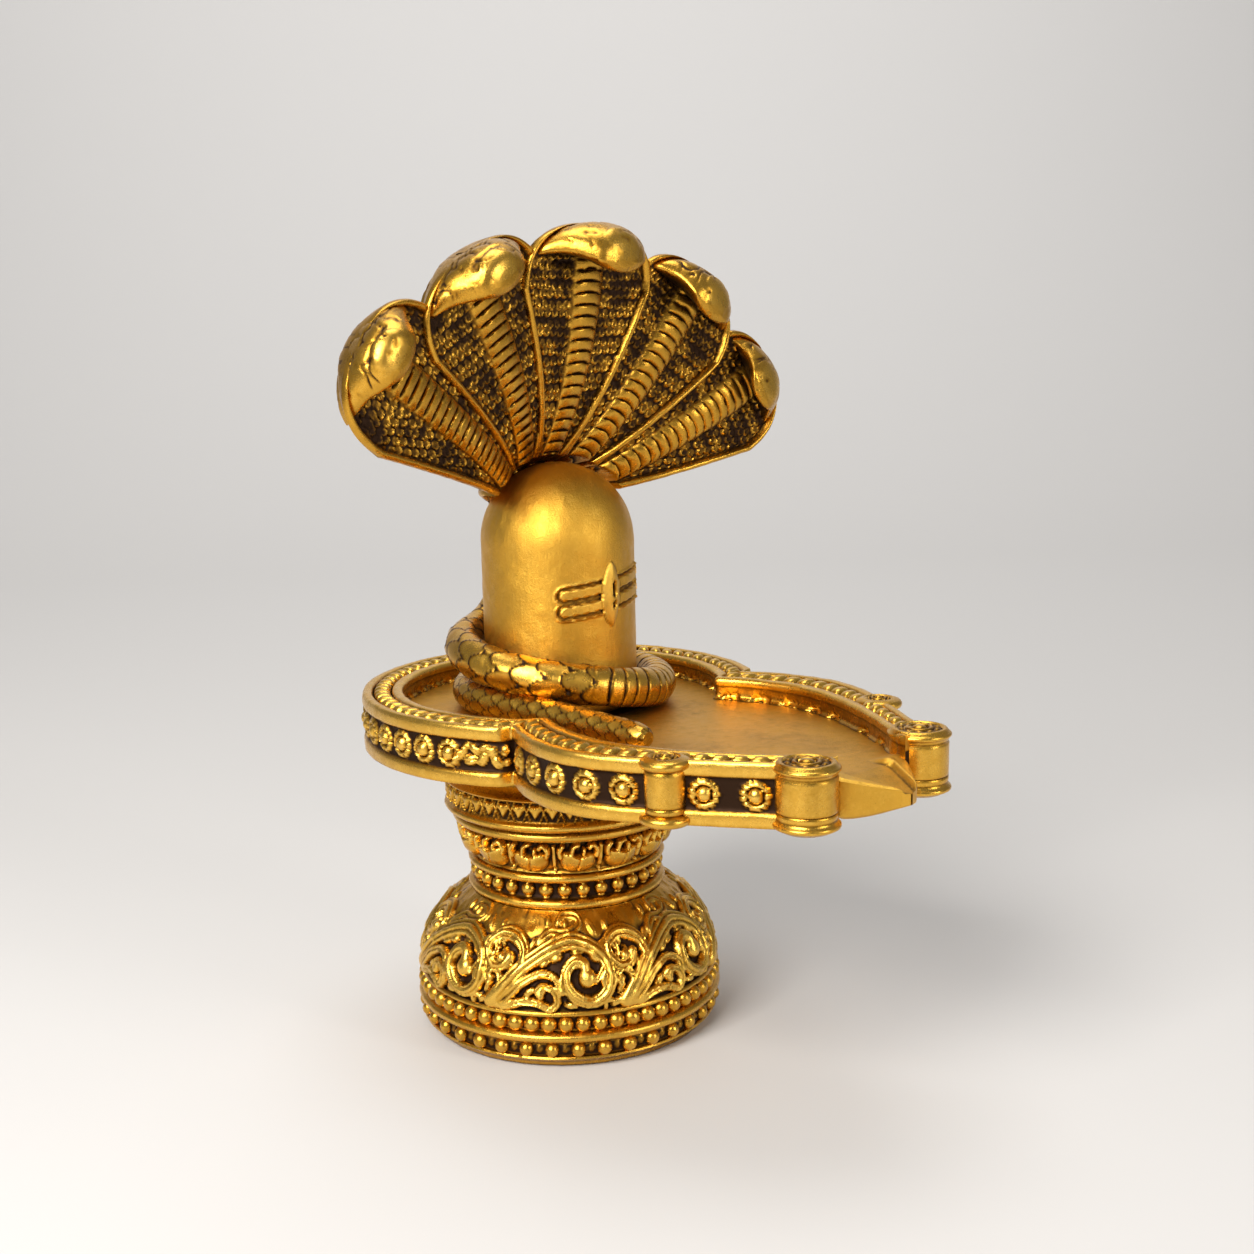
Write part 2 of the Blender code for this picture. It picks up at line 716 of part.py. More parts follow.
# Serpent
def coil_radius():
    return LINGAM_RADIUS + GAP + BODY_RADIUS


def body_path():
    """Centres and radii of the body from the tail end, round the lingam, to where it turns up the back."""
    floor = basin_floor() + GAP
    stations = []
    side_x = -(LINGAM_RADIUS + GAP + LOW_BODY_RADIUS)
    for t in (0.0, 0.03, 0.3, 0.65):
        radius = mix(TAIL_RADIUS, LOW_BODY_RADIUS, t)
        end_round = 0.7 if t == 0.0 else 1.0
        centre = Vector((mix(TAIL_X, side_x, t ** 1.5), mix(TAIL_Y, 0.0, t), floor + radius))
        stations.append((centre, end_round * radius, end_round * radius))
    steps = 25
    for i in range(steps + 1):
        angle = mix(COIL_END, COIL_START, i / steps)
        fall = min((angle - COIL_START) / (COIL_LEVEL - COIL_START), 1.0) ** 1.25
        slim = smooth_step((angle - COIL_LEVEL) / (COIL_END - COIL_LEVEL))
        radius = mix(BODY_RADIUS, LOW_BODY_RADIUS, slim)
        reach = LINGAM_RADIUS + GAP + radius
        height = mix(UPPER_COIL_Z, floor + radius, fall)
        stations.append((Vector((reach * math.cos(angle), reach * math.sin(angle), height)), radius, radius))
    return stations


def hood_lean(reach):
    """How far in front of the axis the fan stands, at a distance from its root."""
    return FAN_REACH - FAN_BACKSET * math.exp(-reach / FAN_CURL)


def fan_front(across, height, thickness):
    """The fan leans forward over the dome and is pushed back where the dome is in the way."""
    reach = math.hypot(across, height - FAN_Z)
    lean = hood_lean(reach)
    clear = LINGAM_RADIUS + GAP + thickness
    inside = clear * clear - across * across - (height - DOME_CENTRE_Z) ** 2
    if inside <= 0.0:
        return lean
    return min(lean, -math.sqrt(inside))


def fan_point(lean_angle, reach, across, front):
    """A point of a hood: reach along its axis, across it, and in front of the fan's middle surface."""
    x = reach * math.sin(lean_angle) + across * math.cos(lean_angle)
    z = FAN_Z + reach * math.cos(lean_angle) - across * math.sin(lean_angle)
    return Vector((x, -(fan_front(x, z, 3.0 * MM) + front), z))


def hood_half(reach, length, half):
    """The half width of a hood: a straight flare, then a round crest."""
    shoulder = SHOULDER * length
    if reach < shoulder:
        return half * (reach / shoulder) ** 1.08
    t = (reach - shoulder) / (length - shoulder)
    return half * (1.0 - t ** 2.5) ** (1.0 / 2.5)


def hood_ring(lean_angle, reach, length, half):
    """A section across a hood: round rims, a cup between them and a bulging back."""
    width = max(hood_half(reach, length, half), 1.2 * RIM_RADIUS)
    full = min(1.0, max(0.0, (width - 1.2 * RIM_RADIUS) / (3.0 * RIM_RADIUS)))
    rim = RIM_RADIUS
    cup = -CUP_DEPTH * full + 0.5 * rim * (1.0 - full)
    back = -HOOD_BACK * full - rim * (1.0 - full)
    side = [
        (width, 0.0),
        (width - 0.6 * rim, rim),
        (width - (1.0 + full) * rim, mix(rim, cup, 0.35 * full)),
        (0.5 * (width - 2.0 * rim) if full > 0.5 else 0.3 * width, cup),
    ]
    other = [(-across, front) for across, front in side[::-1]]
    rear = [(-0.8 * width, mix(-rim, back, 0.25)), (-0.4 * width, mix(-rim, back, 0.85))]
    rear += [(0.4 * width, mix(-rim, back, 0.85)), (0.8 * width, mix(-rim, back, 0.25))]
    return [fan_point(lean_angle, reach, across, front) for across, front in side + other + rear]


def make_hood(name, lean_angle, length, half, snout_drop, snout_front, collection):
    rings = []
    shares = (0.0, 0.3, 0.6, 0.8, 0.92, 0.985)
    for share in shares:
        rings.append(hood_ring(lean_angle, mix(HOOD_ROOT, length, share), length, half))
    loft(name, rings, collection)
    make_throat(name + "_throat", lean_angle, length, collection)
    make_head(name + "_head", lean_angle, length, half, snout_drop, snout_front, collection)


def make_throat(name, lean_angle, length, collection):
    """The ribbed belly up the middle of a hood, each rib wider at its upper end."""
    start, end = 1.25 * HOOD_ROOT, 0.88 * length
    rings = []
    for i in range(THROAT_RING_COUNT):
        for step, swell in ((0.0, 0.8), (0.85, 1.0)):
            share = (i + step) / THROAT_RING_COUNT
            half = THROAT_HALF * swell * mix(0.85, 1.0, share)
            top, foot = THROAT_RISE * swell, -CUP_DEPTH - 0.7 * MM
            reach = mix(start, end, share)
            corners = ((half, foot), (0.6 * half, top), (-0.6 * half, top), (-half, foot))
            rings.append([fan_point(lean_angle, reach, across, front) for across, front in corners])
    return loft(name, rings, collection)


def crown_drop(across, length, half):
    """How far the crest of a hood lies below its top, at a distance from its middle."""
    share = min(abs(across) / half, 1.0)
    return (1.0 - SHOULDER) * length * (1.0 - (1.0 - share ** 2.5) ** 0.4)


def make_head(name, lean_angle, length, half, snout_drop, snout_front, collection):
    """The crest of the hood runs forward as a roof that narrows to the snout."""
    rings = []
    for share, wide, thick in HEAD_STATIONS:
        sink = mix(HEAD_SINK, snout_drop, share ** 2.2)
        front = mix(-HEAD_BACK, snout_front, share)
        ring = []
        for i in range(HEAD_CORNERS):
            angle = 2.0 * math.pi * i / HEAD_CORNERS
            across = wide * half * math.cos(angle)
            arch = crown_drop(across, length, half) * mix(1.0, 0.5, share)
            rise = thick * math.sin(angle) - arch
            ring.append(fan_point(lean_angle, length - sink + rise, across, front))
        rings.append(ring)
    return loft(name, rings, collection)


def trunk_stations():
    """The trunk behind the lingam, which widens and bends over the dome into the fan."""
    back, dome = coil_radius(), DOME_CENTRE_Z
    path = [
        (-1.4 * BODY_RADIUS, back - 0.8 * MM, UPPER_COIL_Z + 1.0 * MM, BODY_RADIUS, BODY_RADIUS),
        (-0.26 * BODY_RADIUS, back, UPPER_COIL_Z + 3.2 * MM, BODY_RADIUS, BODY_RADIUS),
        (0.49 * BODY_RADIUS, back + 0.3 * MM, UPPER_COIL_Z + 7.2 * MM, 1.03 * BODY_RADIUS, 0.94 * BODY_RADIUS),
        (0.74 * BODY_RADIUS, back + 0.5 * MM, dome - 5.0 * MM, 0.52 * TRUNK_SPREAD, 0.83 * BODY_RADIUS),
        (0.8 * BODY_RADIUS, back - 0.35 * MM, dome + 2.4 * MM, 0.6 * TRUNK_SPREAD, 0.77 * BODY_RADIUS),
        (0.5 * BODY_RADIUS, back - 2.55 * MM, dome + 7.9 * MM, 0.78 * TRUNK_SPREAD, 0.69 * BODY_RADIUS),
        (0.1 * BODY_RADIUS, back - 5.95 * MM, dome + 12.3 * MM, 0.97 * TRUNK_SPREAD, 0.63 * BODY_RADIUS),
        (0.0, back - 8.45 * MM, dome + 14.7 * MM, 0.93 * TRUNK_SPREAD, 0.57 * BODY_RADIUS),
    ]
    return [(Vector((x, y, z)), wide, deep) for x, y, z, wide, deep in path]


def section_ring(centre, forward, up, wide, deep, corners=8):
    side = forward.cross(up).normalized()
    rise = side.cross(forward).normalized()
    ring = []
    for i in range(corners):
        angle = 2.0 * math.pi * i / corners
        ring.append(centre + side * wide * math.cos(angle) + rise * deep * math.sin(angle))
    return ring


def body_and_trunk(collection):
    stations = body_path() + trunk_stations()
    rings = []
    for i, (centre, wide, deep) in enumerate(stations):
        before = stations[max(i - 1, 0)][0]
        after = stations[min(i + 1, len(stations) - 1)][0]
        forward = (after - before).normalized()
        outward = Vector((centre.x, centre.y, 0.0)).normalized()
        rings.append(section_ring(centre, forward, outward, wide, deep))
    return loft("serpent", rings, collection)


def make_serpent(collection, cutters, material):
    serpent = body_and_trunk(collection)
    hoods = bpy.data.collections.new("hoods")
    cutters.children.link(hoods)
    for name, lean, length, half, snout_drop, snout_front in HOODS:
        make_hood(name, math.radians(lean), length, half, snout_drop, snout_front, hoods)
    for obj in hoods.objects:
        as_cutter(obj)
    boolean(serpent, hoods, "UNION")
    finish_piece(serpent, material)
    return serpent


def main():
    clear_scene()
    pieces = make_collection("shiva_lingam")
    cutters = make_collection("cutters")
    gold = make_material("antique_gold", GOLD, 0.35)
    satin = make_material("satin_gold", SATIN_GOLD, 0.42)
    make_pedestal(pieces, cutters, gold)
    make_tray(pieces, cutters, gold)
    make_lingam(pieces, cutters, satin)
    make_serpent(pieces, cutters, gold)


main()
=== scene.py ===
import math

import bpy
import numpy as np
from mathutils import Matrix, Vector


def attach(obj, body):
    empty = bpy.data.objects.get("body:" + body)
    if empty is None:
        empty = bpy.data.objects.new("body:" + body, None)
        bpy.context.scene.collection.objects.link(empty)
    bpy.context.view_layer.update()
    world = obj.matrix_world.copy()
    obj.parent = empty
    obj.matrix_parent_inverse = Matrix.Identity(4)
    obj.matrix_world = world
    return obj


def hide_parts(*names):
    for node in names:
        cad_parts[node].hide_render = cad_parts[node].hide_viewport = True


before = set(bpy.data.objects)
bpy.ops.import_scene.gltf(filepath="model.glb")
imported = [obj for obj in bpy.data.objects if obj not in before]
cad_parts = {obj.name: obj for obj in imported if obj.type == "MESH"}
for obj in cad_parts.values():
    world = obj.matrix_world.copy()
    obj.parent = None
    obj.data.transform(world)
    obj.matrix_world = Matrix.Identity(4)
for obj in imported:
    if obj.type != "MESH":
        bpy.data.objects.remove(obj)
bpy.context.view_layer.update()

MM = 0.001
TAU = 2.0 * math.pi
FINE = 1.0
UP = np.array([0.0, 0.0, 1.0])


# Small numeric helpers
def ss(low, high, x):
    """Smooth step from 0 at low to 1 at high."""
    t = np.clip((np.asarray(x, float) - low) / (high - low), 0.0, 1.0)
    return t * t * (3.0 - 2.0 * t)


def fall(low, high, x):
    """Smooth step from 1 at low to 0 at high."""
    return 1.0 - ss(low, high, x)


def clamp(x):
    return np.clip(x, 0.0, 1.0)


def peak(x, centre, width):
    """A soft hump of height 1 at the centre."""
    return np.exp(-((x - centre) / width) ** 2)


def dome(x):
    """The height of a half circle above x, which runs from -1 to 1."""
    return np.sqrt(clamp(1.0 - x ** 2))


def mix(a, b, t):
    return a + (b - a) * t


def count(n):
    return max(8, int(n * FINE))


def unit(v):
    return v / np.maximum(np.linalg.norm(v, axis=-1, keepdims=True), 1e-12)


class Noise:
    """Smooth value noise in three dimensions, repeatable from its seed."""

    def __init__(self, seed):
        self.table = np.random.default_rng(seed).random((32, 32, 32)) * 2.0 - 1.0

    def __call__(self, p, size):
        q = np.asarray(p) / size + 500.0
        cell = np.floor(q).astype(int)
        t = ss(0.0, 1.0, q - cell)
        total = 0.0
        for dx in (0, 1):
            for dy in (0, 1):
                for dz in (0, 1):
                    weight = 1.0
                    for axis, step in enumerate((dx, dy, dz)):
                        weight = weight * (t[..., axis] if step else 1.0 - t[..., axis])
                    value = self.table[tuple((cell[..., k] + d) % 32 for k, d in enumerate((dx, dy, dz)))]
                    total = total + weight * value
        return total


hand_noise = Noise(11)
pit_noise = Noise(23)


def segment_distance(px, py, path):
    """Distance from points to a polyline, and how far along it (0 to 1) the nearest point lies."""
    path = np.asarray(path, float)
    steps = np.linalg.norm(np.diff(path, axis=0), axis=1)
    total, walked = steps.sum(), 0.0
    best = np.full(np.shape(px), 1e9)
    place = np.zeros(np.shape(px))
    for (ax, ay), (bx, by), step in zip(path[:-1], path[1:], steps):
        dx, dy = bx - ax, by - ay
        t = clamp(((px - ax) * dx + (py - ay) * dy) / max(step * step, 1e-12))
        d = np.hypot(px - ax - t * dx, py - ay - t * dy)
        nearer = d < best
        best = np.where(nearer, d, best)
        place = np.where(nearer, (walked + t * step) / total, place)
        walked += step
    return best, place


def curve(points, per=6):
    """A smooth curve through points."""
    p = np.asarray(points, float)
    p = np.vstack([2 * p[0] - p[1], p, 2 * p[-1] - p[-2]])
    out = []
    for i in range(1, len(p) - 2):
        for k in range(per):
            t = k / per
            a, b, c, d = p[i - 1], p[i], p[i + 1], p[i + 2]
            square, cube = 2 * a - 5 * b + 4 * c - d, 3 * b - a - 3 * c + d
            out.append(0.5 * (2 * b + (c - a) * t + square * t * t + cube * t ** 3))
    out.append(p[-2])
    return np.array(out)


def blur(h, reach, loop_u=True, loop_v=False):
    """Box blur of a height field by whole rows and columns."""
    for axis, loop, r in ((0, loop_u, reach[0]), (1, loop_v, reach[1])):
        r = max(int(r), 0)
        if r == 0:
            continue
        pad = [(0, 0), (0, 0)]
        pad[axis] = (r, r)
        padded = np.pad(h, pad, mode="wrap" if loop else "edge")
        zero = np.zeros_like(np.take(padded, [0], axis=axis))
        total = np.cumsum(np.concatenate([zero, padded], axis=axis), axis=axis)
        n = h.shape[axis]
        high = np.take(total, range(2 * r + 1, 2 * r + 1 + n), axis=axis)
        low = np.take(total, range(0, n), axis=axis)
        h = (high - low) / (2 * r + 1)
    return h


# Mesh helpers
def grid_normals(p, loop_u, loop_v):
    du = np.roll(p, -1, 0) - np.roll(p, 1, 0) if loop_u else np.gradient(p, axis=0)
    dv = np.roll(p, -1, 1) - np.roll(p, 1, 1) if loop_v else np.gradient(p, axis=1)
    return unit(np.cross(du, dv))


def grid_faces(nu, nv, loop_u, loop_v, flip=False):
    i = np.arange(nu if loop_u else nu - 1)
    j = np.arange(nv if loop_v else nv - 1)
    i, j = np.meshgrid(i, j, indexing="ij")
    i2, j2 = (i + 1) % nu, (j + 1) % nv
    faces = np.stack([i * nv + j, i2 * nv + j, i2 * nv + j2, i * nv + j2], -1).reshape(-1, 4)
    return faces[:, ::-1] if flip else faces


class Shape:
    """Gathers grids and caps into one mesh with a value at each vertex for patina in recesses and for painted
    shade.
    """

    def __init__(self):
        self.points, self.cavity, self.faces, self.total = [], [], [], 0

    def add(self, points, faces, cavity=0.0):
        points = np.asarray(points, float).reshape(-1, 3)
        self.points.append(points)
        self.cavity.append(np.full(len(points), np.ravel(cavity), float))
        self.faces.append(np.asarray(faces, int) + self.total)
        self.total += len(points)

    def grid(self, p, cavity=0.0, loop_u=True, loop_v=False, flip=False):
        nu, nv = p.shape[:2]
        self.add(p, grid_faces(nu, nv, loop_u, loop_v, flip), cavity)

    def cap(self, ring, cavity, flip=False):
        corners = np.arange(len(ring))[None, :]
        self.add(ring, corners[:, ::-1] if flip else corners, cavity)

    def build(self, name, node, material):
        points = np.concatenate(self.points)
        cavity = np.concatenate(self.cavity)
        corners, sizes = [], []
        for faces in self.faces:
            corners.append(faces.reshape(-1))
            sizes.append(np.full(len(faces), faces.shape[1]))
        corners, sizes = np.concatenate(corners), np.concatenate(sizes)
        mesh = bpy.data.meshes.new(name)
        mesh.vertices.add(len(points))
        mesh.vertices.foreach_set("co", points.reshape(-1))
        mesh.loops.add(len(corners))
        mesh.loops.foreach_set("vertex_index", corners.astype(np.int32))
        mesh.polygons.add(len(sizes))
        starts = np.concatenate([[0], np.cumsum(sizes)[:-1]])
        mesh.polygons.foreach_set("loop_start", starts.astype(np.int32))
        mesh.update(calc_edges=True)
        mesh.validate()
        mesh.shade_smooth()
        mesh.set_sharp_from_angle(angle=math.radians(62.0))
        layer = mesh.attributes.new("cavity", "FLOAT", "POINT")
        layer.data.foreach_set("value", np.clip(cavity, -1.0, 1.0).astype(np.float32))
        mesh.materials.append(material)
        obj = bpy.data.objects.new(name, mesh)
        bpy.context.scene.collection.objects.link(obj)
        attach(obj, "root")
        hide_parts(node)


def ball(shape, centre, radii, axes, cavity_foot=0.7, nu=14, nv=8, low=-0.35):
    """Part of a ball that stands on a surface: axes are (side, up, out) and low is how deep it is cut."""
    side, up, out = (np.asarray(a, float) for a in axes)
    theta = np.linspace(0, TAU, nu, endpoint=False)
    phi = np.linspace(math.asin(low), math.pi / 2 - 0.02, nv)
    t, f = np.meshgrid(theta, phi, indexing="ij")
    p = (
        np.asarray(centre, float)
        + side * (radii[0] * np.cos(f) * np.cos(t))[..., None]
        + up * (radii[1] * np.cos(f) * np.sin(t))[..., None]
        + out * (radii[2] * np.sin(f))[..., None]
    )
    cavity = cavity_foot * fall(low, 0.35, np.sin(f)) - 0.25 * ss(0.6, 1.0, np.sin(f))
    start = shape.total
    shape.grid(p, cavity)
    shape.faces.append(np.array([[start + i * nv + nv - 1 for i in range(nu)]]))


# Materials
def gold_material(name, gold, pale, deep, roughness, grain, streak=0.0, wear=1.0):
    """Antiqued cast brass: bright where it is rubbed, brown-black in every recess and in the painted shade
    carried by the cavity value, finely pitted all over.
    """
    material = bpy.data.materials.new(name)
    material.use_nodes = True
    tree = material.node_tree
    nodes, link = tree.nodes, tree.links.new
    shader = nodes["Principled BSDF"]
    place = nodes.new("ShaderNodeTexCoord")
    cavity = nodes.new("ShaderNodeAttribute")
    cavity.attribute_name = "cavity"

    def noise(scale, detail, rough=0.55, stretch=None):
        node = nodes.new("ShaderNodeTexNoise")
        node.inputs["Scale"].default_value = scale
        node.inputs["Detail"].default_value = detail
        node.inputs["Roughness"].default_value = rough
        if stretch:
            mapping = nodes.new("ShaderNodeMapping")
            mapping.inputs["Scale"].default_value = stretch
            link(place.outputs["Object"], mapping.inputs["Vector"])
            link(mapping.outputs["Vector"], node.inputs["Vector"])
        else:
            link(place.outputs["Object"], node.inputs["Vector"])
        return node.outputs["Fac"]

    def ranged(source, *limits):
        node = nodes.new("ShaderNodeMapRange")
        for key, value in zip(("From Min", "From Max", "To Min", "To Max"), limits):
            node.inputs[key].default_value = value
        link(source, node.inputs["Value"])
        return node.outputs["Result"]

    def calc(kind, a, b):
        node = nodes.new("ShaderNodeMath")
        node.operation = kind
        for socket, value in zip(node.inputs, (a, b)):
            if isinstance(value, (int, float)):
                socket.default_value = value
            else:
                link(value, socket)
        return node.outputs["Value"]

    def blend(fac, a, b):
        node = nodes.new("ShaderNodeMix")
        node.data_type = "RGBA"
        for socket, value in ((node.inputs[0], fac), (node.inputs[6], a), (node.inputs[7], b)):
            if isinstance(value, tuple):
                socket.default_value = (*value, 1.0)
            else:
                link(value, socket)
        return node.outputs[2]

    broad = noise(90.0, 4.0)
    middle = noise(520.0, 5.0, 0.62)
    small = noise(2400.0, 4.0, 0.65)
    tiny = noise(7000.0, 2.0, 0.6)
    # Patina and painted shade: the cavity value, roughened by noise so its border is never a clean line
    patina_and_shade = calc("ADD", cavity.outputs["Fac"], ranged(middle, 0.3, 0.7, -0.12 * wear, 0.12 * wear))
    patina_and_shade = calc("ADD", patina_and_shade, ranged(small, 0.3, 0.7, -0.09 * wear, 0.09 * wear))
    warm = ranged(patina_and_shade, 0.02, 0.36, 0.0, 1.0)
    dark = ranged(patina_and_shade, 0.26, 0.74, 0.0, 1.0)
    rubbed = ranged(patina_and_shade, -0.1, -0.5, 0.0, 1.0)
    body = blend(ranged(broad, 0.3, 0.7, 0.0, 1.0), gold, tuple(0.82 * c for c in gold))
    body = blend(calc("MULTIPLY", rubbed, 0.7), body, pale)
    body = blend(calc("MULTIPLY", warm, 0.62), body, deep)
    pits = ranged(small, 0.64, 0.74, 0.0, 0.5 * wear)
    body = blend(pits, body, tuple(0.6 * c for c in deep))
    colour = blend(dark, body, (0.026, 0.0095, 0.002))
    link(colour, shader.inputs["Base Color"])
    metal = ranged(dark, 0.3, 1.0, 1.0, 0.8)
    link(metal, shader.inputs["Metallic"])
    rough = calc("ADD", ranged(middle, 0.25, 0.75, roughness - 0.07, roughness + 0.09),
                 calc("MULTIPLY", dark, 0.28))
    link(rough, shader.inputs["Roughness"])
    height = calc("ADD", calc("MULTIPLY", small, 0.5), calc("MULTIPLY", tiny, 0.35))
    height = calc("ADD", height, calc("MULTIPLY", middle, 0.5))
    if streak:
        lines = noise(1500.0, 3.0, 0.6, (1.0, 1.0, 0.08))
        height = calc("ADD", height, calc("MULTIPLY", lines, streak))
    bump = nodes.new("ShaderNodeBump")
    bump.inputs["Strength"].default_value = grain
    bump.inputs["Distance"].default_value = 0.00025
    link(height, bump.inputs["Height"])
    link(bump.outputs["Normal"], shader.inputs["Normal"])
    return material


GOLD = (0.66, 0.345, 0.040)
PALE = (0.92, 0.57, 0.105)
DEEP = (0.17, 0.066, 0.008)
carved_gold = gold_material("antique_gold", GOLD, PALE, DEEP, 0.27, 0.26, 0.0, 0.8)
plain_gold = gold_material("worn_gold", GOLD, PALE, DEEP, 0.27, 0.24, 0.0, 0.8)
satin_gold = gold_material("satin_gold", (0.76, 0.41, 0.05), (0.92, 0.56, 0.10), DEEP, 0.38, 0.6, 0.3, 0.9)


# Pedestal
def turned_points(profile, segments):
    """Rows of a turned surface: profile of (radius, height), lowest first, in metres."""
    profile = np.asarray(profile, float)
    angle = np.linspace(0.0, TAU, segments, endpoint=False)
    r, z = profile[:, 0], profile[:, 1]
    p = np.stack([np.cos(angle)[:, None] * r, np.sin(angle)[:, None] * r,
                  np.broadcast_to(z, (segments, len(z)))], -1)
    return angle, p


def rounded(profile, step):
    """A profile with its long runs split into short rows."""
    out = [profile[0]]
    for a, b in zip(profile[:-1], profile[1:]):
        n = max(1, int(math.ceil(math.dist(a, b) / step)))
        out += [(mix(a[0], b[0], k / n), mix(a[1], b[1], k / n)) for k in range(1, n + 1)]
    return out


def arc_profile(cr, cz, radius, start, end, n=8):
    turns = [math.radians(mix(start, end, k / n)) for k in range(n + 1)]
    return [(cr + radius * math.cos(t), cz + radius * math.sin(t)) for t in turns]


def lathe(shape, profile, segments, relief=None, cavity=None, hand=0.05):
    """Adds a turned band; relief(angle, height) is in millimetres outward."""
    profile = [(r * MM, z * MM) for r, z in profile]
    angle, p = turned_points(profile, segments)
    z = p[..., 2] / MM
    a = np.broadcast_to(angle[:, None], z.shape)
    normal = grid_normals(p, True, False)
    h = np.zeros(z.shape) if relief is None else relief(a, z)
    h = h + hand * hand_noise(p / MM, 2.2)
    p = p + normal * (h * MM)[..., None]
    cav = np.zeros(z.shape) if cavity is None else cavity(a, z, h)
    shape.grid(p, cav)


def concavity(h, reach_mm, step, strength):
    """How deep each point lies below the level around it."""
    reach = (reach_mm / step[0], reach_mm / step[1])
    return strength * (blur(blur(h, reach), reach) - h)


def frame_at(angle):
    out = np.array([math.cos(angle), math.sin(angle), 0.0])
    side = np.array([-math.sin(angle), math.cos(angle), 0.0])
    return side, UP, out


BASE_TURN = math.radians(-125.1)  # the middle of the front of the pedestal's carving
BEAD_TURN_LOW = BASE_TURN - 11.4 / 28.3
BEAD_TURN_HIGH = BASE_TURN - 7.1 / 28.3
LOW_BEADS, HIGH_BEADS, BEAD_ROW_RADIUS = 37, 57, 28.0


def make_foot():
    """The round foot: a row of large beads, a ridge, a row of small beads and a border."""
    profile = [(26.2, 0.0), (27.0, 0.25), (27.3, 1.0), (28.2, 1.7), (28.7, 2.05), (28.6, 2.45), (28.0, 2.6)]
    profile += [(27.9, 3.6), (28.0, 4.85), (28.5, 5.05)]
    profile += arc_profile(28.6, 6.15, 0.86, -75, 75, 8)
    profile += [(28.3, 7.2), (27.9, 7.35), (27.85, 8.7), (27.9, 9.9), (28.2, 10.15), (28.65, 10.3),
                (28.7, 10.6), (28.5, 10.95), (28.3, 11.1)]
    shape = Shape()

    def relief(a, z):
        def round_bead(number, turn, height):
            step = TAU / number
            u = ((a - turn) / step + 0.5) % 1.0
            return u, step * BEAD_ROW_RADIUS, np.hypot((u - 0.5) * step * BEAD_ROW_RADIUS, z - height)

        u, pitch, d = round_bead(LOW_BEADS, BEAD_TURN_LOW, 3.7)
        mark = peak(u * pitch, 0.0, 0.5) + peak((1.0 - u) * pitch, 0.0, 0.5)
        low = 0.14 * peak(d, 1.35, 0.22) + 0.75 * mark * peak(z, 3.9, 0.6)
        low = np.where((z > 2.6) & (z < 4.9), low, 0.0)
        _, _, d = round_bead(HIGH_BEADS, BEAD_TURN_HIGH, 8.7)
        high = np.where((z > 7.5) & (z < 9.8), 0.12 * peak(d, 1.2, 0.2), 0.0)
        return low + high

    def cavity(a, z, h):
        band = ss(2.3, 2.9, z) * fall(4.6, 5.0, z) + ss(7.2, 7.8, z) * fall(9.6, 10.1, z)
        edge = peak(z, 2.1, 0.3) + peak(z, 6.15, 0.6) + peak(z, 10.45, 0.35)
        foot = 0.4 * fall(0.0, 0.5, z) + 0.28 * peak(z, 1.35, 0.35)
        return (0.95 * band - 3.0 * band * np.clip(h - 0.06, 0, 0.2) - 0.32 * edge + foot
                + 0.55 * ss(10.85, 11.05, z))

    lathe(shape, rounded(profile, 0.5), count(440), relief, cavity)
    for number, z, turn, size, base in (
        (LOW_BEADS, 3.75, BEAD_TURN_LOW, 1.42, 28.0), (HIGH_BEADS, 8.65, BEAD_TURN_HIGH, 1.54, 27.95)
    ):
        for i in range(number):
            angle = turn + TAU * i / number
            side, up, out = frame_at(angle)
            wob = 1.0 + 0.05 * math.sin(7.3 * i + z)
            r = size * MM
            ball(shape, out * base * MM + up * z * MM, (r * wob, r, r), (side, up, out), 0.75, 18, 9, -0.1)
    # Underside: a shallow cast hollow with a flat standing ring
    under = [(0.05, 1.6), (8.0, 1.6), (16.0, 1.5), (21.5, 1.1), (23.2, 0.2), (24.0, 0.0), (26.2, 0.0)]
    lathe(shape, rounded(under, 1.5), count(96), None, lambda a, z, h: 0.25 + 0.3 * ss(0.0, 1.4, z))
    shape.build("pedestal_foot", "pedestal", carved_gold)


# Bell carving: each stroke is (around, height) in millimetres in one of seven units
STEM = curve([(-18, 12.3), (-15, 15.8), (-12.2, 18.6), (-7.7, 21.2), (-2.8, 22.5), (1.3, 21.6), (4, 19.6),
              (4.6, 16.7), (3.6, 14.1), (1.1, 12.7), (-1.7, 13.5), (-3.6, 15.6), (-3.7, 17.9), (-2.1, 19.4),
              (-0.2, 19.0), (0.1, 17.5)])
VOLUTE = curve([(-12.2, 18.6), (-12.5, 21.3), (-14.9, 22.9), (-18, 23.1), (-20.4, 21.7), (-20.3, 19.9),
                (-18.5, 18.3), (-16.3, 18.5), (-15.2, 19.9)])
STRAND = curve([(-16.6, 11.9), (-14, 14.2), (-11.9, 16.1), (-8.6, 17.6), (-5.9, 17.0), (-4.5, 14.6)])
LOW_CURL = curve([(-15.6, 11.6), (-11.7, 12.8), (-8.8, 12.6), (-6.7, 11.7), (-5.4, 12.9), (-5.9, 14.8),
                  (-8.1, 15.6), (-9.0, 14.7), (-8.4, 13.9)])
TOP_CURL = curve([(-9.6, 22.3), (-7.2, 23.7), (-4.5, 23.6), (-1.8, 24.0), (-0.3, 24.9), (-1.4, 25.9),
                  (-4.4, 26.0), (-5.6, 25.2)])
SIDE_CURL = curve([(7.6, 11.5), (9.0, 13.8), (9.0, 16.5), (7.5, 17.8), (6.1, 16.8), (6.7, 15.2)])
BUD_STEM = curve([(4.4, 19.4), (3.2, 17.6), (1.9, 16.2)])
UPPER_LEAF = curve([(3.8, 21.6), (5.9, 22.2), (7.0, 20.6), (6.2, 19.2)])
BELL_UNIT, UNIT_WIDTH = TAU / 7, 25.4
SHIFTS = (0.0, UNIT_WIDTH, -UNIT_WIDTH)
BELL_STEP = (0.24, 0.19)
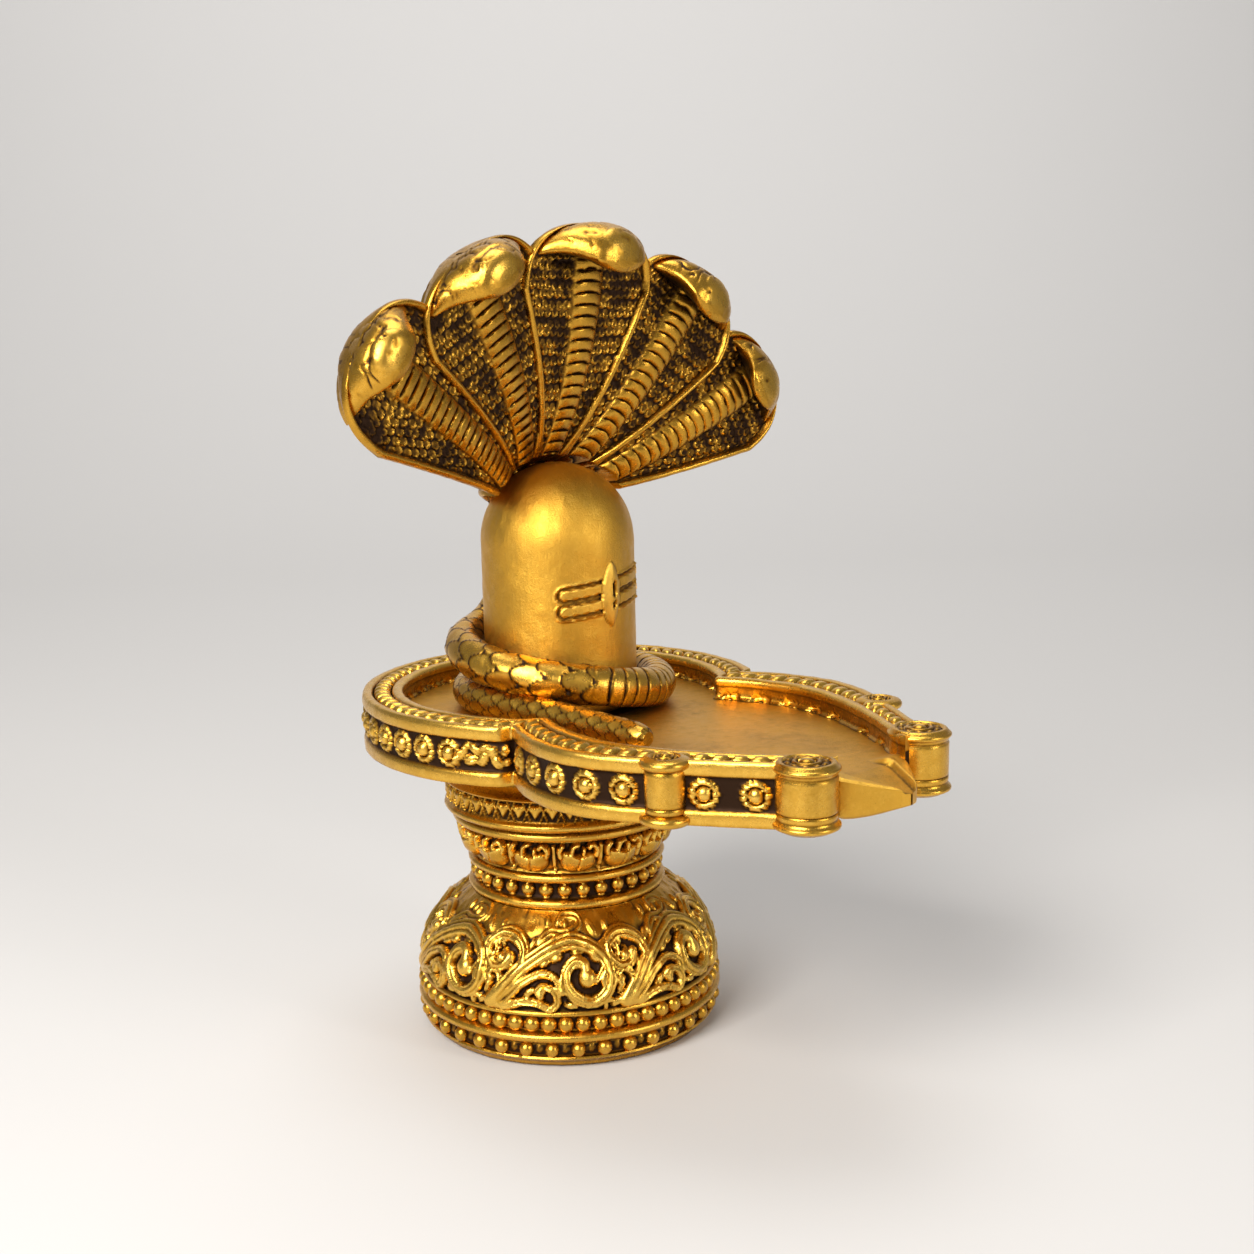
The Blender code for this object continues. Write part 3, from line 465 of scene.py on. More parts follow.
BELL_LOW, BELL_HIGH, BELL_TOP_RADIUS, BELL_RADIUS = 10.9, 26.6, 18.7, 28.3


def bell_radius(z):
    t = clamp((z - BELL_LOW) / (BELL_HIGH - BELL_LOW))
    return BELL_TOP_RADIUS + (BELL_RADIUS - BELL_TOP_RADIUS) * (1.0 - t ** 2.2)


def bell_relief(a, z):
    """Height of the scrolls above the ground of the bell, and how deep in shade each point lies."""
    unit_angle = (a - BASE_TURN) / BELL_UNIT
    u = (unit_angle - np.floor(unit_angle + 22.3 / UNIT_WIDTH)) * UNIT_WIDTH
    h, groove = np.zeros(z.shape), np.zeros(z.shape)
    for path, half, rise, taper, cuts in (
        (STEM, 1.5, 1.15, 0.3, 2), (VOLUTE, 1.2, 1.05, 0.2, 2), (STRAND, 1.0, 0.95, 0.35, 1),
        (LOW_CURL, 0.92, 0.95, 0.25, 1), (TOP_CURL, 0.8, 0.8, 0.2, 1), (SIDE_CURL, 0.85, 0.9, 0.3, 1),
        (BUD_STEM, 0.8, 0.75, 0.3, 1), (UPPER_LEAF, 0.85, 0.8, 0.4, 1),
    ):
        for shift in SHIFTS:
            d, place = segment_distance(u + shift, z, path)
            if d.min() > 4.0:
                continue
            width = half * (1.0 - taper * place)
            body = rise * clamp(1.0 - (d / width) ** 2.6) ** 0.5
            line = 0.0 if cuts == 1 else 0.42
            cut_line = 0.42 * peak(d, line * width, 0.2) * fall(0.9, 1.0, place)
            cut_line = cut_line * ss(0.0, 0.12, place)
            level = body - cut_line * (body > 0)
            groove = np.where(level > h, cut_line * 1.5 * (body > 0), groove)
            h = np.maximum(h, level)
    for x, y, r, rise in ((-17.1, 19.6, 0.95, 1.05), (0.3, 16.9, 1.75, 1.3), (-8.1, 14.6, 0.6, 0.8),
                          (-3.9, 25.0, 0.7, 0.75), (6.9, 16.2, 0.65, 0.8), (-12.9, 20.3, 0.7, 0.8),
                          (5.9, 24.4, 0.75, 0.7), (-8.2, 25.3, 0.8, 0.7)):
        for shift in SHIFTS:
            d = np.hypot(u + shift - x, z - y)
            h = np.maximum(h, rise * dome(d / r))
    for shift in SHIFTS:
        x, y = u + shift + 21.1, z - 16.2
        d = np.hypot(x / 1.25, y / 1.5)
        ring = 0.85 * dome((d - 0.9) / 0.42)
        h = np.maximum(h, ring)
        x, y = u + shift + 22.0, z - 12.7
        d, turn = np.hypot(x, y), np.arctan2(y, x)
        petal = 1.25 + 0.55 * np.cos(4 * turn)
        h = np.maximum(h, 0.75 * dome(d / petal) - 0.35 * peak(d, 0.0, 0.35))
        # Small leaf scales that fill the ground beside the stem
        for x0, y0, lean in (
            (-13.2, 12.0, 0.35), (-1.6, 24.9, 1.2), (8.8, 20.0, 1.6), (10.6, 18.9, 1.4), (7.6, 22.6, 1.9),
            (2.3, 24.3, 2.2), (-11.0, 21.9, 0.9), (-7.9, 19.4, 0.5), (-5.6, 20.2, 0.3), (-1.4, 20.9, 0.0),
            (2.0, 20.0, -0.6), (-10.6, 14.5, 0.7), (-2.9, 12.2, -0.2), (5.6, 12.3, 0.5), (-14.6, 17.6, 1.2),
            (-18.9, 14.8, 1.2),
        ):
            x, y = u + shift - x0, z - y0
            p, q = x * math.cos(lean) + y * math.sin(lean), -x * math.sin(lean) + y * math.cos(lean)
            scale = 0.6 * np.sqrt(clamp(1.0 - (p / 1.45) ** 2 - (q / 0.66) ** 2))
            h = np.maximum(h, scale - 0.2 * peak(q, 0.0, 0.13) * (np.abs(p) < 1.2))
    ground = fall(0.02, 0.35, h)
    # The upper shoulder is smooth metal, and the carved ground is sunk below it
    cut_in = fall(21.6, 24.2, z + 0.7 * np.sin(3.1 * u / 4.0))
    sunk = ground * cut_in
    h = h * mix(0.6, 1.0, fall(23.0, 25.0, z)) - 0.5 * sunk
    return h, sunk, groove


def make_bell():
    """The bell under its carved scrolls."""
    profile = [(28.5, 10.75)]
    rows = count(84)
    for k in range(rows + 1):
        z = mix(10.95, BELL_HIGH, math.sin(0.5 * math.pi * k / rows))
        profile.append((float(bell_radius(z)), z))
    profile[-1] = (BELL_TOP_RADIUS, 26.62)
    shape = Shape()
    store = {}

    def relief(a, z):
        h, sunk, groove = bell_relief(a, z)
        store.update(sunk=sunk, groove=groove)
        return h + 0.10 * hand_noise(np.stack([a * 28.3, z, 0 * z], -1), 1.3)

    def cavity(a, z, h):
        near = concavity(h, 0.45, BELL_STEP, 2.1)
        wide = concavity(h, 1.3, BELL_STEP, 0.75)
        shoulder = ss(21.8, 24.4, z)
        cav = (0.30 * store["sunk"] + np.clip(near, -0.5, 0.8) + np.clip(wide, -0.3, 0.5)
               + 0.5 * store["groove"] - 0.2)
        pits = np.clip(pit_noise(np.stack([a * 24.0, z, 0 * z], -1), 0.8), 0.45, 1.0) - 0.45
        return cav * mix(1.0, 0.75, shoulder) + pits * shoulder * 1.1 + 0.1 * shoulder

    lathe(shape, profile, count(700), relief, cavity, 0.03)
    shape.build("pedestal_bell", "pedestal", carved_gold)


DROPS = 32


def make_neck():
    """Two round rings with a row of hanging drops between them."""
    shape = Shape()
    profile = [(18.2, 26.5)] + arc_profile(18.1, 27.5, 0.92, -80, 80, 8)
    profile += [(17.5, 28.6), (17.2, 29.0), (17.15, 31.5), (17.5, 31.8)]
    profile += arc_profile(18.15, 32.55, 0.82, -80, 80, 8) + [(17.9, 33.5), (17.5, 33.7)]

    def cavity(a, z, h):
        recess = (0.9 * ss(28.2, 28.8, z) * fall(31.5, 32.0, z) + 0.45 * fall(26.5, 27.0, z)
                  + 0.5 * ss(33.1, 33.6, z))
        return recess - 0.35 * peak(z, 27.5, 0.5) - 0.35 * peak(z, 32.5, 0.45)

    lathe(shape, rounded(profile, 0.5), count(320), None, cavity, 0.08)
    for i in range(DROPS):
        angle = BASE_TURN + TAU * (i + 0.3) / DROPS
        side, up, out = frame_at(angle)
        size = 1.0 + 0.06 * math.sin(5.1 * i)
        for r, z, radii, foot, nu, nv in (
            (17.25, 30.2, (1.38 * size, 1.4, 1.45), 0.7, 16, 8),
            (17.2, 31.0, (0.55, 1.15, 1.0), 0.5, 10, 6),
            (17.5, 28.9, (0.8, 0.4, 0.6), 0.6, 10, 5),
        ):
            place, radii = (out * r + up * z) * MM, [k * MM for k in radii]
            ball(shape, place, radii, (side, up, out), foot, nu, nv, -0.1)
    shape.build("pedestal_neck", "pedestal", carved_gold)


SHELLS, SHELL_PITCH = 14, 8.45


def lotus_relief(a, z):
    """Fourteen round shells with curled rims, and a narrow bar with a bead at its foot between each two."""
    unit_angle = (a - BASE_TURN) / (TAU / SHELLS) + 0.5
    number = np.floor(unit_angle)
    place = (unit_angle % 1.0 - 0.5) * SHELL_PITCH
    u = place - 0.105 * np.sin(2.3 * number)
    au = np.abs(u)
    top = 38.0 - 0.3 * np.cos(u * 1.5) + 0.3 * np.sin(1.7 * number) * u / 3.0
    bowl = 1.0 - (au / 3.35) ** 2.6 - (np.clip(36.8 - z, 0.0, 9.0) / 2.65) ** 2.4
    bowl = 1.95 * np.sqrt(clamp(bowl)) * fall(top - 0.25, top + 0.1, z)
    bowl -= 0.32 * peak(u, 0.25 * (z - 36.0), 0.16) * (bowl > 0) * fall(37.0, 37.5, z)
    h = np.maximum(0.0, bowl)
    for path, half, rise in (
        ([(3.1, 37.6), (3.3, 38.7), (2.5, 39.6), (1.9, 39.2)], 0.55, 1.8),
        ([(-3.1, 37.6), (-3.3, 38.7), (-2.7, 39.5)], 0.55, 1.8),
        ([(-1.2, 38.0), (-0.9, 39.2), (0.0, 39.7)], 0.5, 1.7),
        ([(0.9, 38.0), (1.0, 38.7)], 0.45, 1.6),
    ):
        d, _ = segment_distance(u, z, curve(path, 4))
        h = np.maximum(h, rise * dome(d / half))
    edge = 4.22 - np.abs(place)
    bar = 0.8 * fall(0.22, 0.5, edge) * ss(35.0, 35.4, z) * fall(39.2, 39.6, z)
    h = np.maximum(h, bar)
    d = np.hypot(edge, z - 34.5)
    h = np.maximum(h, 0.85 * dome(d / 0.42))
    h = np.maximum(h, 0.6 * fall(33.75, 34.05, z))
    return np.maximum(h, 0.7 * ss(39.85, 40.1, z))


def make_lotus():
    shape = Shape()
    knots = np.array([(17.3, 33.6), (17.9, 35.0), (18.7, 37.0), (19.2, 39.0), (19.3, 40.3)])
    z = np.linspace(33.55, 40.3, count(38))
    profile = list(zip(np.interp(z, knots[:, 1], knots[:, 0]), z))

    def relief(a, z):
        return lotus_relief(a, z) + 0.06 * hand_noise(np.stack([a * 19, z, 0 * z], -1), 0.9)

    def cavity(a, z, h):
        ground = fall(0.05, 0.45, h)
        near = concavity(h, 0.4, (0.15, 0.15), 1.6)
        return 0.34 * ground + np.clip(near, -0.4, 0.75) - 0.12

    lathe(shape, profile, count(700), relief, cavity, 0.02)
    shape.build("pedestal_lotus", "pedestal", carved_gold)


PETALS, PETAL_PITCH = 45, 3.15


def make_collar():
    """The plain step, a ring, the band of petals and the seat under the tray."""
    shape = Shape()
    low = [(19.2, 40.1), (20.6, 40.35)] + arc_profile(20.85, 41.25, 0.85, -70, 62, 8)
    low += [(21.1, 42.25), (20.9, 42.45), (22.3, 42.6)] + arc_profile(22.4, 43.5, 0.72, -70, 80, 6)
    low += [(22.35, 44.5), (22.2, 44.75)]

    def low_cavity(a, z, h):
        return (0.75 * peak(z, 42.4, 0.22) + 0.6 * fall(40.1, 40.6, z) + 0.7 * ss(44.35, 44.7, z)
                - 0.3 * peak(z, 41.4, 0.5) - 0.3 * peak(z, 43.5, 0.5))

    lathe(shape, rounded(low, 0.4), count(288), None, low_cavity, 0.06)
    z = np.linspace(44.7, 48.3, count(22))
    band = [(22.15, height) for height in z]

    def band_relief(a, z):
        u = (((a - BASE_TURN) / (TAU / PETALS)) % 1.0 - 0.5) * PETAL_PITCH
        au = np.abs(u)
        heart = np.hypot(au - 0.5, z - 47.0) / 0.76
        h = 0.75 * dome(heart)
        point = clamp(1.0 - (au / np.maximum(1.15 * (z - 45.1) / 1.6, 0.05)) ** 2)
        point = np.where((z > 45.1) & (z < 47.0), point, 0.0)
        h = np.maximum(h, 0.7 * np.sqrt(point))
        for end in ((0.75, 48.3), (0.9, 44.7)):
            bar, _ = segment_distance(au, z, [(1.58, 46.4), end])
            h = np.maximum(h, 0.6 * dome(bar / 0.2))
        return h

    def band_cavity(a, z, h):
        return 0.72 * fall(0.08, 0.42, h) - 0.25 * ss(0.5, 0.7, h)

    lathe(shape, band, count(720), band_relief, band_cavity, 0.03)
    top = [(22.2, 48.15), (22.9, 48.3), (23.0, 48.55), (22.7, 48.8), (21.9, 49.2), (21.0, 49.8), (20.6, 50.5),
           (20.5, 52.5), (20.5, 55.1)]

    def top_cavity(a, z, h):
        # Painted shade: the neck darkens upwards into the shadow under the tray; the crease and ridge at its
        # foot are patina and wear.
        return 0.5 * fall(48.1, 48.35, z) - 0.35 * peak(z, 48.5, 0.3) + 0.75 * ss(50.2, 53.5, z)

    lathe(shape, rounded(top, 0.6), count(256), None, top_cavity, 0.05)
    shape.build("pedestal_collar", "pedestal", carved_gold)


# Tray, drawn as (along, across), with along towards the spout
TRAY_BOTTOM, RIM_TOP, FLOOR, SPOUT_END = 55.4, 65.9, 61.7, 82.0
ROUND_RADIUS, BASIN_RADIUS, LOBE_MIDDLE, WAIST, MOUTH, MOUTH_HALF = 37.6, 30.0, 37.6, 20.4, 74.3, 8.6
BAND_LOW, BAND_HIGH, ROSETTE_Z = 58.0, 63.0, 60.55
# Posts: along, across, radius and how far their end rings stand out
SMALL_POST, END_POST = (54.7, 26.9, 3.3, 0.5), (72.8, 14.3, 4.85, 0.12)
LOBE_END = SMALL_POST[0]


def lobe_rise(along, waist_half, top_half, far_half, far_along, power):
    if along < LOBE_MIDDLE:
        t = (LOBE_MIDDLE - along) / (LOBE_MIDDLE - WAIST)
        return top_half - (top_half - waist_half) * t * t
    t = (along - LOBE_MIDDLE) / (far_along - LOBE_MIDDLE)
    return top_half - (top_half - far_half) * t ** power


def round_part(radius, end):
    return [(radius * math.cos(a), radius * math.sin(a)) for a in np.linspace(math.pi, math.radians(end), 61)]


def outer_half():
    far = SMALL_POST[1] + 0.35 * SMALL_POST[2]
    points = round_part(ROUND_RADIUS, 58.0)
    points += [(a, lobe_rise(a, 29.2, 34.6, far, LOBE_END, 1.8)) for a in np.linspace(WAIST, LOBE_END, 33)]
    points += [(a, mix(far, 15.3, (a - LOBE_END) / 19.1)) for a in np.linspace(55.9, 73.8, 14)]
    return np.array(points + [(MOUTH, 12.0), (MOUTH, MOUTH_HALF)])


def inner_half():
    points = round_part(BASIN_RADIUS, 50.0)
    for a in (*np.linspace(20.1, 53.2, 33), *np.linspace(54.2, 72.5, 14)):
        points.append((a, lobe_rise(a, 20.8, 25.2, MOUTH_HALF, END_POST[0], 1.6)))
    return np.array(points + [(73.4, MOUTH_HALF), (MOUTH, MOUTH_HALF)])


def walk_along(path):
    """The length walked at each point of a path."""
    return np.concatenate([[0.0], np.cumsum(np.linalg.norm(np.diff(path, axis=0), axis=1))])


def even_steps(path, walked, n):
    at = np.linspace(0.0, walked[-1], n)
    return at, np.stack([np.interp(at, walked, path[:, k]) for k in range(path.shape[1])], -1)


def tray_plans(n):
    """Outer and inner edges as matching points, from one side of the mouth round to the other."""
    outer, inner = outer_half(), inner_half()
    walked = walk_along(outer)
    plans = []
    for path in (outer, inner):
        at, half = even_steps(path, walked, n)
        plans.append(np.vstack([half[::-1], half[1:] * np.array([1.0, -1.0])]))
    return plans[0], plans[1], np.concatenate([at[::-1], -at[1:]])


def smooth_plan(plan, passes):
    for _ in range(passes):
        plan[1:-1] = 0.25 * plan[:-2] + 0.5 * plan[1:-1] + 0.25 * plan[2:]
    return plan


LEAF_RISE, PILLOW_PITCH = 0.95, 3.15


def leaf_fragment(walk, z):
    """Broken leaf work on the side band beside each waist, between two rosettes."""
    h = np.zeros(np.broadcast(walk, z).shape)
    for side in (-1.0, 1.0):
        u = side * walk - LEAF_WALK
        for x, y, lean, long, wide in (
            (-3.0, 61.0, 1.0, 2.3, 0.75), (-1.4, 59.8, 0.2, 1.7, 1.1), (-0.6, 61.7, 2.5, 1.5, 0.8),
            (1.0, 60.2, 1.0, 1.8, 0.95), (2.6, 61.5, 0.3, 1.3, 0.95), (3.3, 59.8, 2.1, 1.6, 1.0),
            (-4.3, 59.4, 1.5, 1.2, 0.6), (1.1, 62.1, 0.3, 1.2, 0.6), (4.9, 61.6, 1.2, 1.2, 0.8),
            (5.2, 59.6, 0.4, 1.1, 0.7),
        ):
            p = (u - x) * math.cos(lean) + (z - y) * math.sin(lean)
            q = (z - y) * math.cos(lean) - (u - x) * math.sin(lean)
            leaf = clamp(1.0 - (p / long) ** 2 - (q / wide) ** 2) ** 0.5
            h = np.maximum(h, leaf - 0.3 * peak(q, 0.0, 0.14) * (leaf > 0.3))
    return h


def make_tray_wall():
    """Side band with rosettes, rounded lips, a channel of pillow beads on top, and the basin wall."""
    outer, inner, walk = tray_plans(count(370))
    outer, inner = smooth_plan(outer, 3), smooth_plan(inner, 6)
    # Rows across the section: (share from outer to inner, height, cavity), lowest first
    rows = [(0.02, 55.4, 0.1), (0.006, 55.55, -0.2), (0.0, 56.0, -0.35), (0.0, 56.9, -0.3), (0.01, 57.4, -0.3),
            (0.035, 57.7, 0.25), (0.085, 57.95, 0.8), (0.105, 58.3, 0.95)]
    rows += [(0.107, z, 0.98) for z in np.linspace(58.6, 62.6, count(20))]
    rows += [(0.105, 62.9, 0.95), (0.085, 63.2, 0.8), (0.035, 63.4, 0.25), (0.01, 63.65, -0.3),
             (0.0, 64.0, -0.38), (0.0, 64.9, -0.35), (0.008, 65.4, -0.42), (0.03, 65.75, -0.5),
             (0.07, 65.9, -0.4), (0.14, 65.92, -0.3), (0.2, 65.85, -0.35), (0.235, 65.6, 0.1),
             (0.25, 65.2, 0.8)]
    rows += [(s, 64.95, 0.9) for s in np.linspace(0.265, 0.705, count(15))]
    rows += [(0.72, 65.2, 0.8), (0.735, 65.6, 0.1), (0.77, 65.85, -0.35), (0.83, 65.92, -0.3),
             (0.91, 65.9, -0.4), (0.965, 65.75, -0.5), (0.995, 65.4, -0.42), (1.0, 64.9, -0.2),
             (0.995, 64.5, 0.1), (0.975, 64.25, 0.5), (0.965, 63.9, 0.3), (0.965, 63.2, 0.2),
             (0.97, 62.6, 0.3), (0.985, 62.3, 0.1), (1.0, 62.15, -0.1), (1.03, 62.0, 0.15), (1.06, 61.75, 0.6)]
    share, height, base = (np.array(column)[None, :] for column in zip(*rows))
    plan = outer[:, None, :] * (1 - share[..., None]) + inner[:, None, :] * share[..., None]
    z = np.broadcast_to(height, plan.shape[:2]).copy()
    cav = np.broadcast_to(base, plan.shape[:2]).copy()
    # Outward direction in plan
    tangent = unit(np.gradient(outer, axis=0))
    out = np.stack([tangent[:, 1], -tangent[:, 0]], -1)
    flip = np.sign((out * (outer - np.array([20.0, 0.0]))).sum(-1))
    out *= flip[:, None]
    # Rosettes on the recessed side band
    in_band = (height > BAND_LOW) & (height < BAND_HIGH)
    push = np.zeros(z.shape)
    for spot in ROSETTE_WALK:
        du, dv = walk[:, None] - spot, z - ROSETTE_Z
        d, turn = np.hypot(du, dv), np.arctan2(dv, du)
        slit = np.abs(np.sin(6.5 * turn + round(spot * 0.7)))
        petals = 2.3 + 0.32 * slit ** 0.6
        h = 0.85 * clamp(1.0 - (d / petals) ** 6) ** 0.5
        h = h - 0.35 * fall(0.0, 0.35, slit) * ss(1.45, 1.7, d) * (d < petals)
        h = h - 0.75 * peak(d, 1.38, 0.17)
        h = np.maximum(h, 1.25 * dome(d / 1.22) ** 0.8)
        push = np.maximum(push, np.where((np.abs(du) < 3.2) & in_band, h, 0.0))
    push = push + LEAF_RISE * leaf_fragment(walk[:, None], z) * in_band
    step_up = np.clip(blur(push, (2, 1), False) - push, -0.2, 0.6)
    cav = np.where(push > 0.05, 0.3 - 0.75 * ss(0.3, 0.8, push) + 1.6 * step_up, cav)
    plan = plan + out[:, None, :] * push[..., None]
    # Pillow beads in the channel
    channel = (share > 0.25) & (share < 0.72)
    step = (walk / PILLOW_PITCH) % 1.0 - 0.5
    across = (share - 0.485) / 0.235
    around = np.abs(step[:, None]) * 2.0
    rise = clamp(1.0 - np.abs(around / 0.96) ** 3.2 - np.abs(across / 0.97) ** 3.0) ** 0.5
    z = np.where(channel, z - 0.5 + 1.75 * rise, z)
    cav = np.where(channel, 0.95 - 1.4 * ss(0.25, 0.75, rise), cav)
    p = np.stack([plan[..., 1], -plan[..., 0], z], -1)
    p = p + 0.06 * np.stack([hand_noise(p, 3.0), hand_noise(p + 40, 3.0), hand_noise(p + 80, 2.0)], -1)
    shape = Shape()
    shape.grid(p * MM, cav, loop_u=False, flip=True)
    # Underside: flat with a few worn engraved lines
    under_share = np.concatenate([[0.02], np.linspace(0.05, 1.0, count(12)), [1.6, 2.3]])[None, :]
    middle_line = np.stack([np.clip(outer[:, 0], -20.0, 60.0), 0 * outer[:, 0]], -1)
    near_axis = outer * 0.42 + middle_line * 0.05
    under = clamp(under_share)[..., None]
    plan = outer[:, None, :] * (1 - under) + inner[:, None, :] * under
    far = clamp((under_share - 1.0) / 1.3)[..., None]
    plan = plan * (1 - far) + near_axis[:, None, :] * far
    line = peak(under_share, 0.3, 0.03) + peak(under_share, 0.72, 0.03)
    zz = np.broadcast_to(TRAY_BOTTOM + 0.25 * line, plan.shape[:2])
    p = np.stack([plan[..., 1], -plan[..., 0], zz], -1)
    shape.grid(p * MM, np.broadcast_to(0.12 + 0.7 * line, zz.shape), loop_u=False)
    shape.build("tray_wall", "yoni_tray", carved_gold)


def rosette_walk():
    """Where the rosettes sit, as lengths along the side measured from the middle of the back."""
    walked = walk_along(outer_half())
    round_end, lobe_end, panel_end = walked[60], walked[93], walked[106]
    spots = [round_end * i / 13.8 for i in range(13)]
    lobe = lobe_end - round_end
    spots += [round_end + lobe * (0.08 + 0.84 * (i + 0.5) / 5) for i in range(5)]
    panel = panel_end - lobe_end
    spots += [lobe_end + panel * (0.12 + 0.76 * (i + 0.5) / 2) for i in range(2)]
    return sorted(set([round(s, 4) for s in spots] + [round(-s, 4) for s in spots]))


ROSETTE_WALK = rosette_walk()
LEAF_WALK = 75.6  # the middle of the leaf work, as a length from the middle of the back


def make_basin():
    """The basin floor, the mouth between the end posts and the pointed spout."""
    along = np.concatenate([np.linspace(-30.6, 70.0, count(130)), np.linspace(70.4, SPOUT_END, count(40))])
    rim = inner_half()
    half = np.interp(along, rim[:, 0], rim[:, 1]) + 0.9
    half = np.where(along < -29.9, np.interp(along, [-30.6, -29.9], [0.5, 3.0]), half)
    tip = clamp((along - MOUTH) / (SPOUT_END - MOUTH))
    banks = clamp((along - 69.5) / 3.0)
    blunt = np.sqrt(np.clip((SPOUT_END - along) / 0.6, 0.02, 1.0))
    tongue = mix(8.45, 1.5, tip ** 1.15) * np.where(along > SPOUT_END - 0.6, blunt, 1.0)
    half = np.where(along > 73.4, tongue, half)
    share = np.linspace(-1.0, 1.0, count(76))
    x = half[:, None] * share[None, :]
    a = np.broadcast_to(along[:, None], x.shape)
    drop = 2.0 * clamp((along - 73.0) / 9.0) ** 1.1
    gutter = mix(4.6, 0.9, tip)[:, None]
    bank = 0.95 * banks[:, None] * ss(gutter, gutter + 1.1, np.abs(x)) * (along > 66)[:, None]
    edge = 1.0 - ss(0.9, 1.0, np.abs(share))[None, :] * 0.35 * banks[:, None]
    z = FLOOR - drop[:, None] + bank * edge
    p = np.stack([x, -a, z], -1)
    p[..., 2] += 0.05 * hand_noise(p, 6.0) + 0.02 * hand_noise(p, 1.5)
    reach = np.hypot(x, a)
    foot_of_wall = ss(0.93, 1.0, np.abs(share))[None, :] * (along < 72)[:, None]
    cav = 0.05 + 0.12 * hand_noise(p, 5.0) + 0.55 * foot_of_wall
    cav = cav + 0.5 * peak(np.abs(x), gutter, 0.35) * banks[:, None] - 0.35 * bank
    # Painted shade: the floor darkens round the lingam's foot, under the coil.
    cav = cav + 0.75 * fall(15.2, 18.5, reach)
    shape = Shape()
    shape.grid(p * MM, cav, loop_u=False, flip=True)
    # Sides and underside of the spout
    rows = np.nonzero(along >= 70.0)[0]
    t = tip[rows]
    bottom = mix(TRAY_BOTTOM + 0.15, FLOOR - drop[rows] + 0.95 - 2.8, t ** 2)
    top = z[rows, -1]
    h = half[rows]
    section = [(1.0, 0.0), (1.015, -0.25), (1.0, -0.7), (0.985, -0.86), (0.9, -0.97), (0.7, -1.0),
               (0.35, -1.0), (0.0, -1.0)]
    section += [(-side, down) for side, down in section[-2::-1]]
    ring = [np.stack([h * side, -along[rows], top + (top - bottom) * down], -1) for side, down in section]
    shape.grid(np.stack(ring, 1) * MM, -0.1, loop_u=False)
    shape.build("tray_basin", "yoni_tray", satin_gold)


def post_profile(radius, cap, top, bottom):
    """A turned post with rounded rings at head and foot and a seam above the foot."""
    r = radius
    rows = [(r - 0.9, bottom)]
    rows += arc_profile(r + 0.05, bottom + 1.0, cap + 0.35, -70, 75, 7)
    rows += [(r - 0.12, bottom + 2.0), (r, bottom + 2.3), (r, bottom + 3.0), (r - 0.18, bottom + 3.12),
             (r, bottom + 3.25)]
    rows += [(r + 0.02 * k, mix(bottom + 3.6, top - 2.6, k / 4)) for k in range(5)]
    rows += [(r - 0.12, top - 2.2)]
    rows += arc_profile(r + 0.05, top - 1.2, cap + 0.3, -70, 80, 7)
    rows += [(r - 0.3, top - 0.25), (r - 0.8, top - 0.15), (r - 1.1, top - 0.5)]
    return rows


def make_posts():
    """Two small posts beside the lobes and two end posts beside the mouth."""
    shape = Shape()
    for along, half, r, cap in (SMALL_POST, END_POST):
        for side in (1.0, -1.0):
            centre = np.array([side * half, -along, 0.0]) * MM
            top, bottom = RIM_TOP + 0.5, TRAY_BOTTOM - 0.2
            rows = np.array(rounded(post_profile(r, cap, top, bottom), 0.5))
            _, p = turned_points(rows * MM, count(72))
            z = p[..., 2] / MM
            foot, head = z - bottom, z - top
            cav = -0.25 + 0.75 * peak(foot, 2.05, 0.16) + 0.7 * peak(foot, 3.12, 0.14)
            cav += 0.75 * peak(head, -2.25, 0.18) + 0.35 * fall(0.0, 0.5, foot)
            p = p + 0.04 * MM * hand_noise(p / MM + side * 7, 1.5)[..., None] * unit(p * np.array([1, 1, 0]))
            shape.grid(p + centre, cav)
            # The head: a ring with a round boss and small petals
            head_radius = r - 1.05
            rr = np.linspace(0.02, 1.0, 20) * head_radius
            ang = np.linspace(0, TAU, 72, endpoint=False)
            R, A = np.meshgrid(rr, ang, indexing="xy")
            s = R / head_radius
            h = 0.75 * dome(s / 0.34)
            h = np.maximum(h, 0.5 * dome((s - 0.52) / 0.1))
            h = np.maximum(h, 0.45 * dome((s - 0.8) / 0.13) * (0.65 + 0.35 * np.cos(10 * A)))
            top_face = np.stack([R * np.cos(A), R * np.sin(A), top - 0.55 + h], -1) * MM
            shape.grid(top_face + centre, 0.8 - 1.6 * h)
            circle = np.stack([np.cos(ang), np.sin(ang), 0 * ang], -1)
            ring = (circle * rr[0] + UP * (top - 0.55 + 0.75)) * MM + centre
            shape.cap(ring, -0.3)
            low = (circle * np.array([1.0, -1.0, 0.0]) * (r - 0.9) + UP * bottom) * MM + centre
            shape.cap(low, 0.2)
    shape.build("tray_posts", "yoni_tray", plain_gold)


# Lingam
LINGAM_RADIUS, LINGAM_FOOT, DOME_Z = 14.35, 62.0, 93.1
MARK_Z, MARK_SLOPE, MARK_REACH = 84.1, math.tan(math.radians(7.0)), math.radians(41.0) * LINGAM_RADIUS
SEAT = 14.65  # the snake's inner side, a little off the lingam


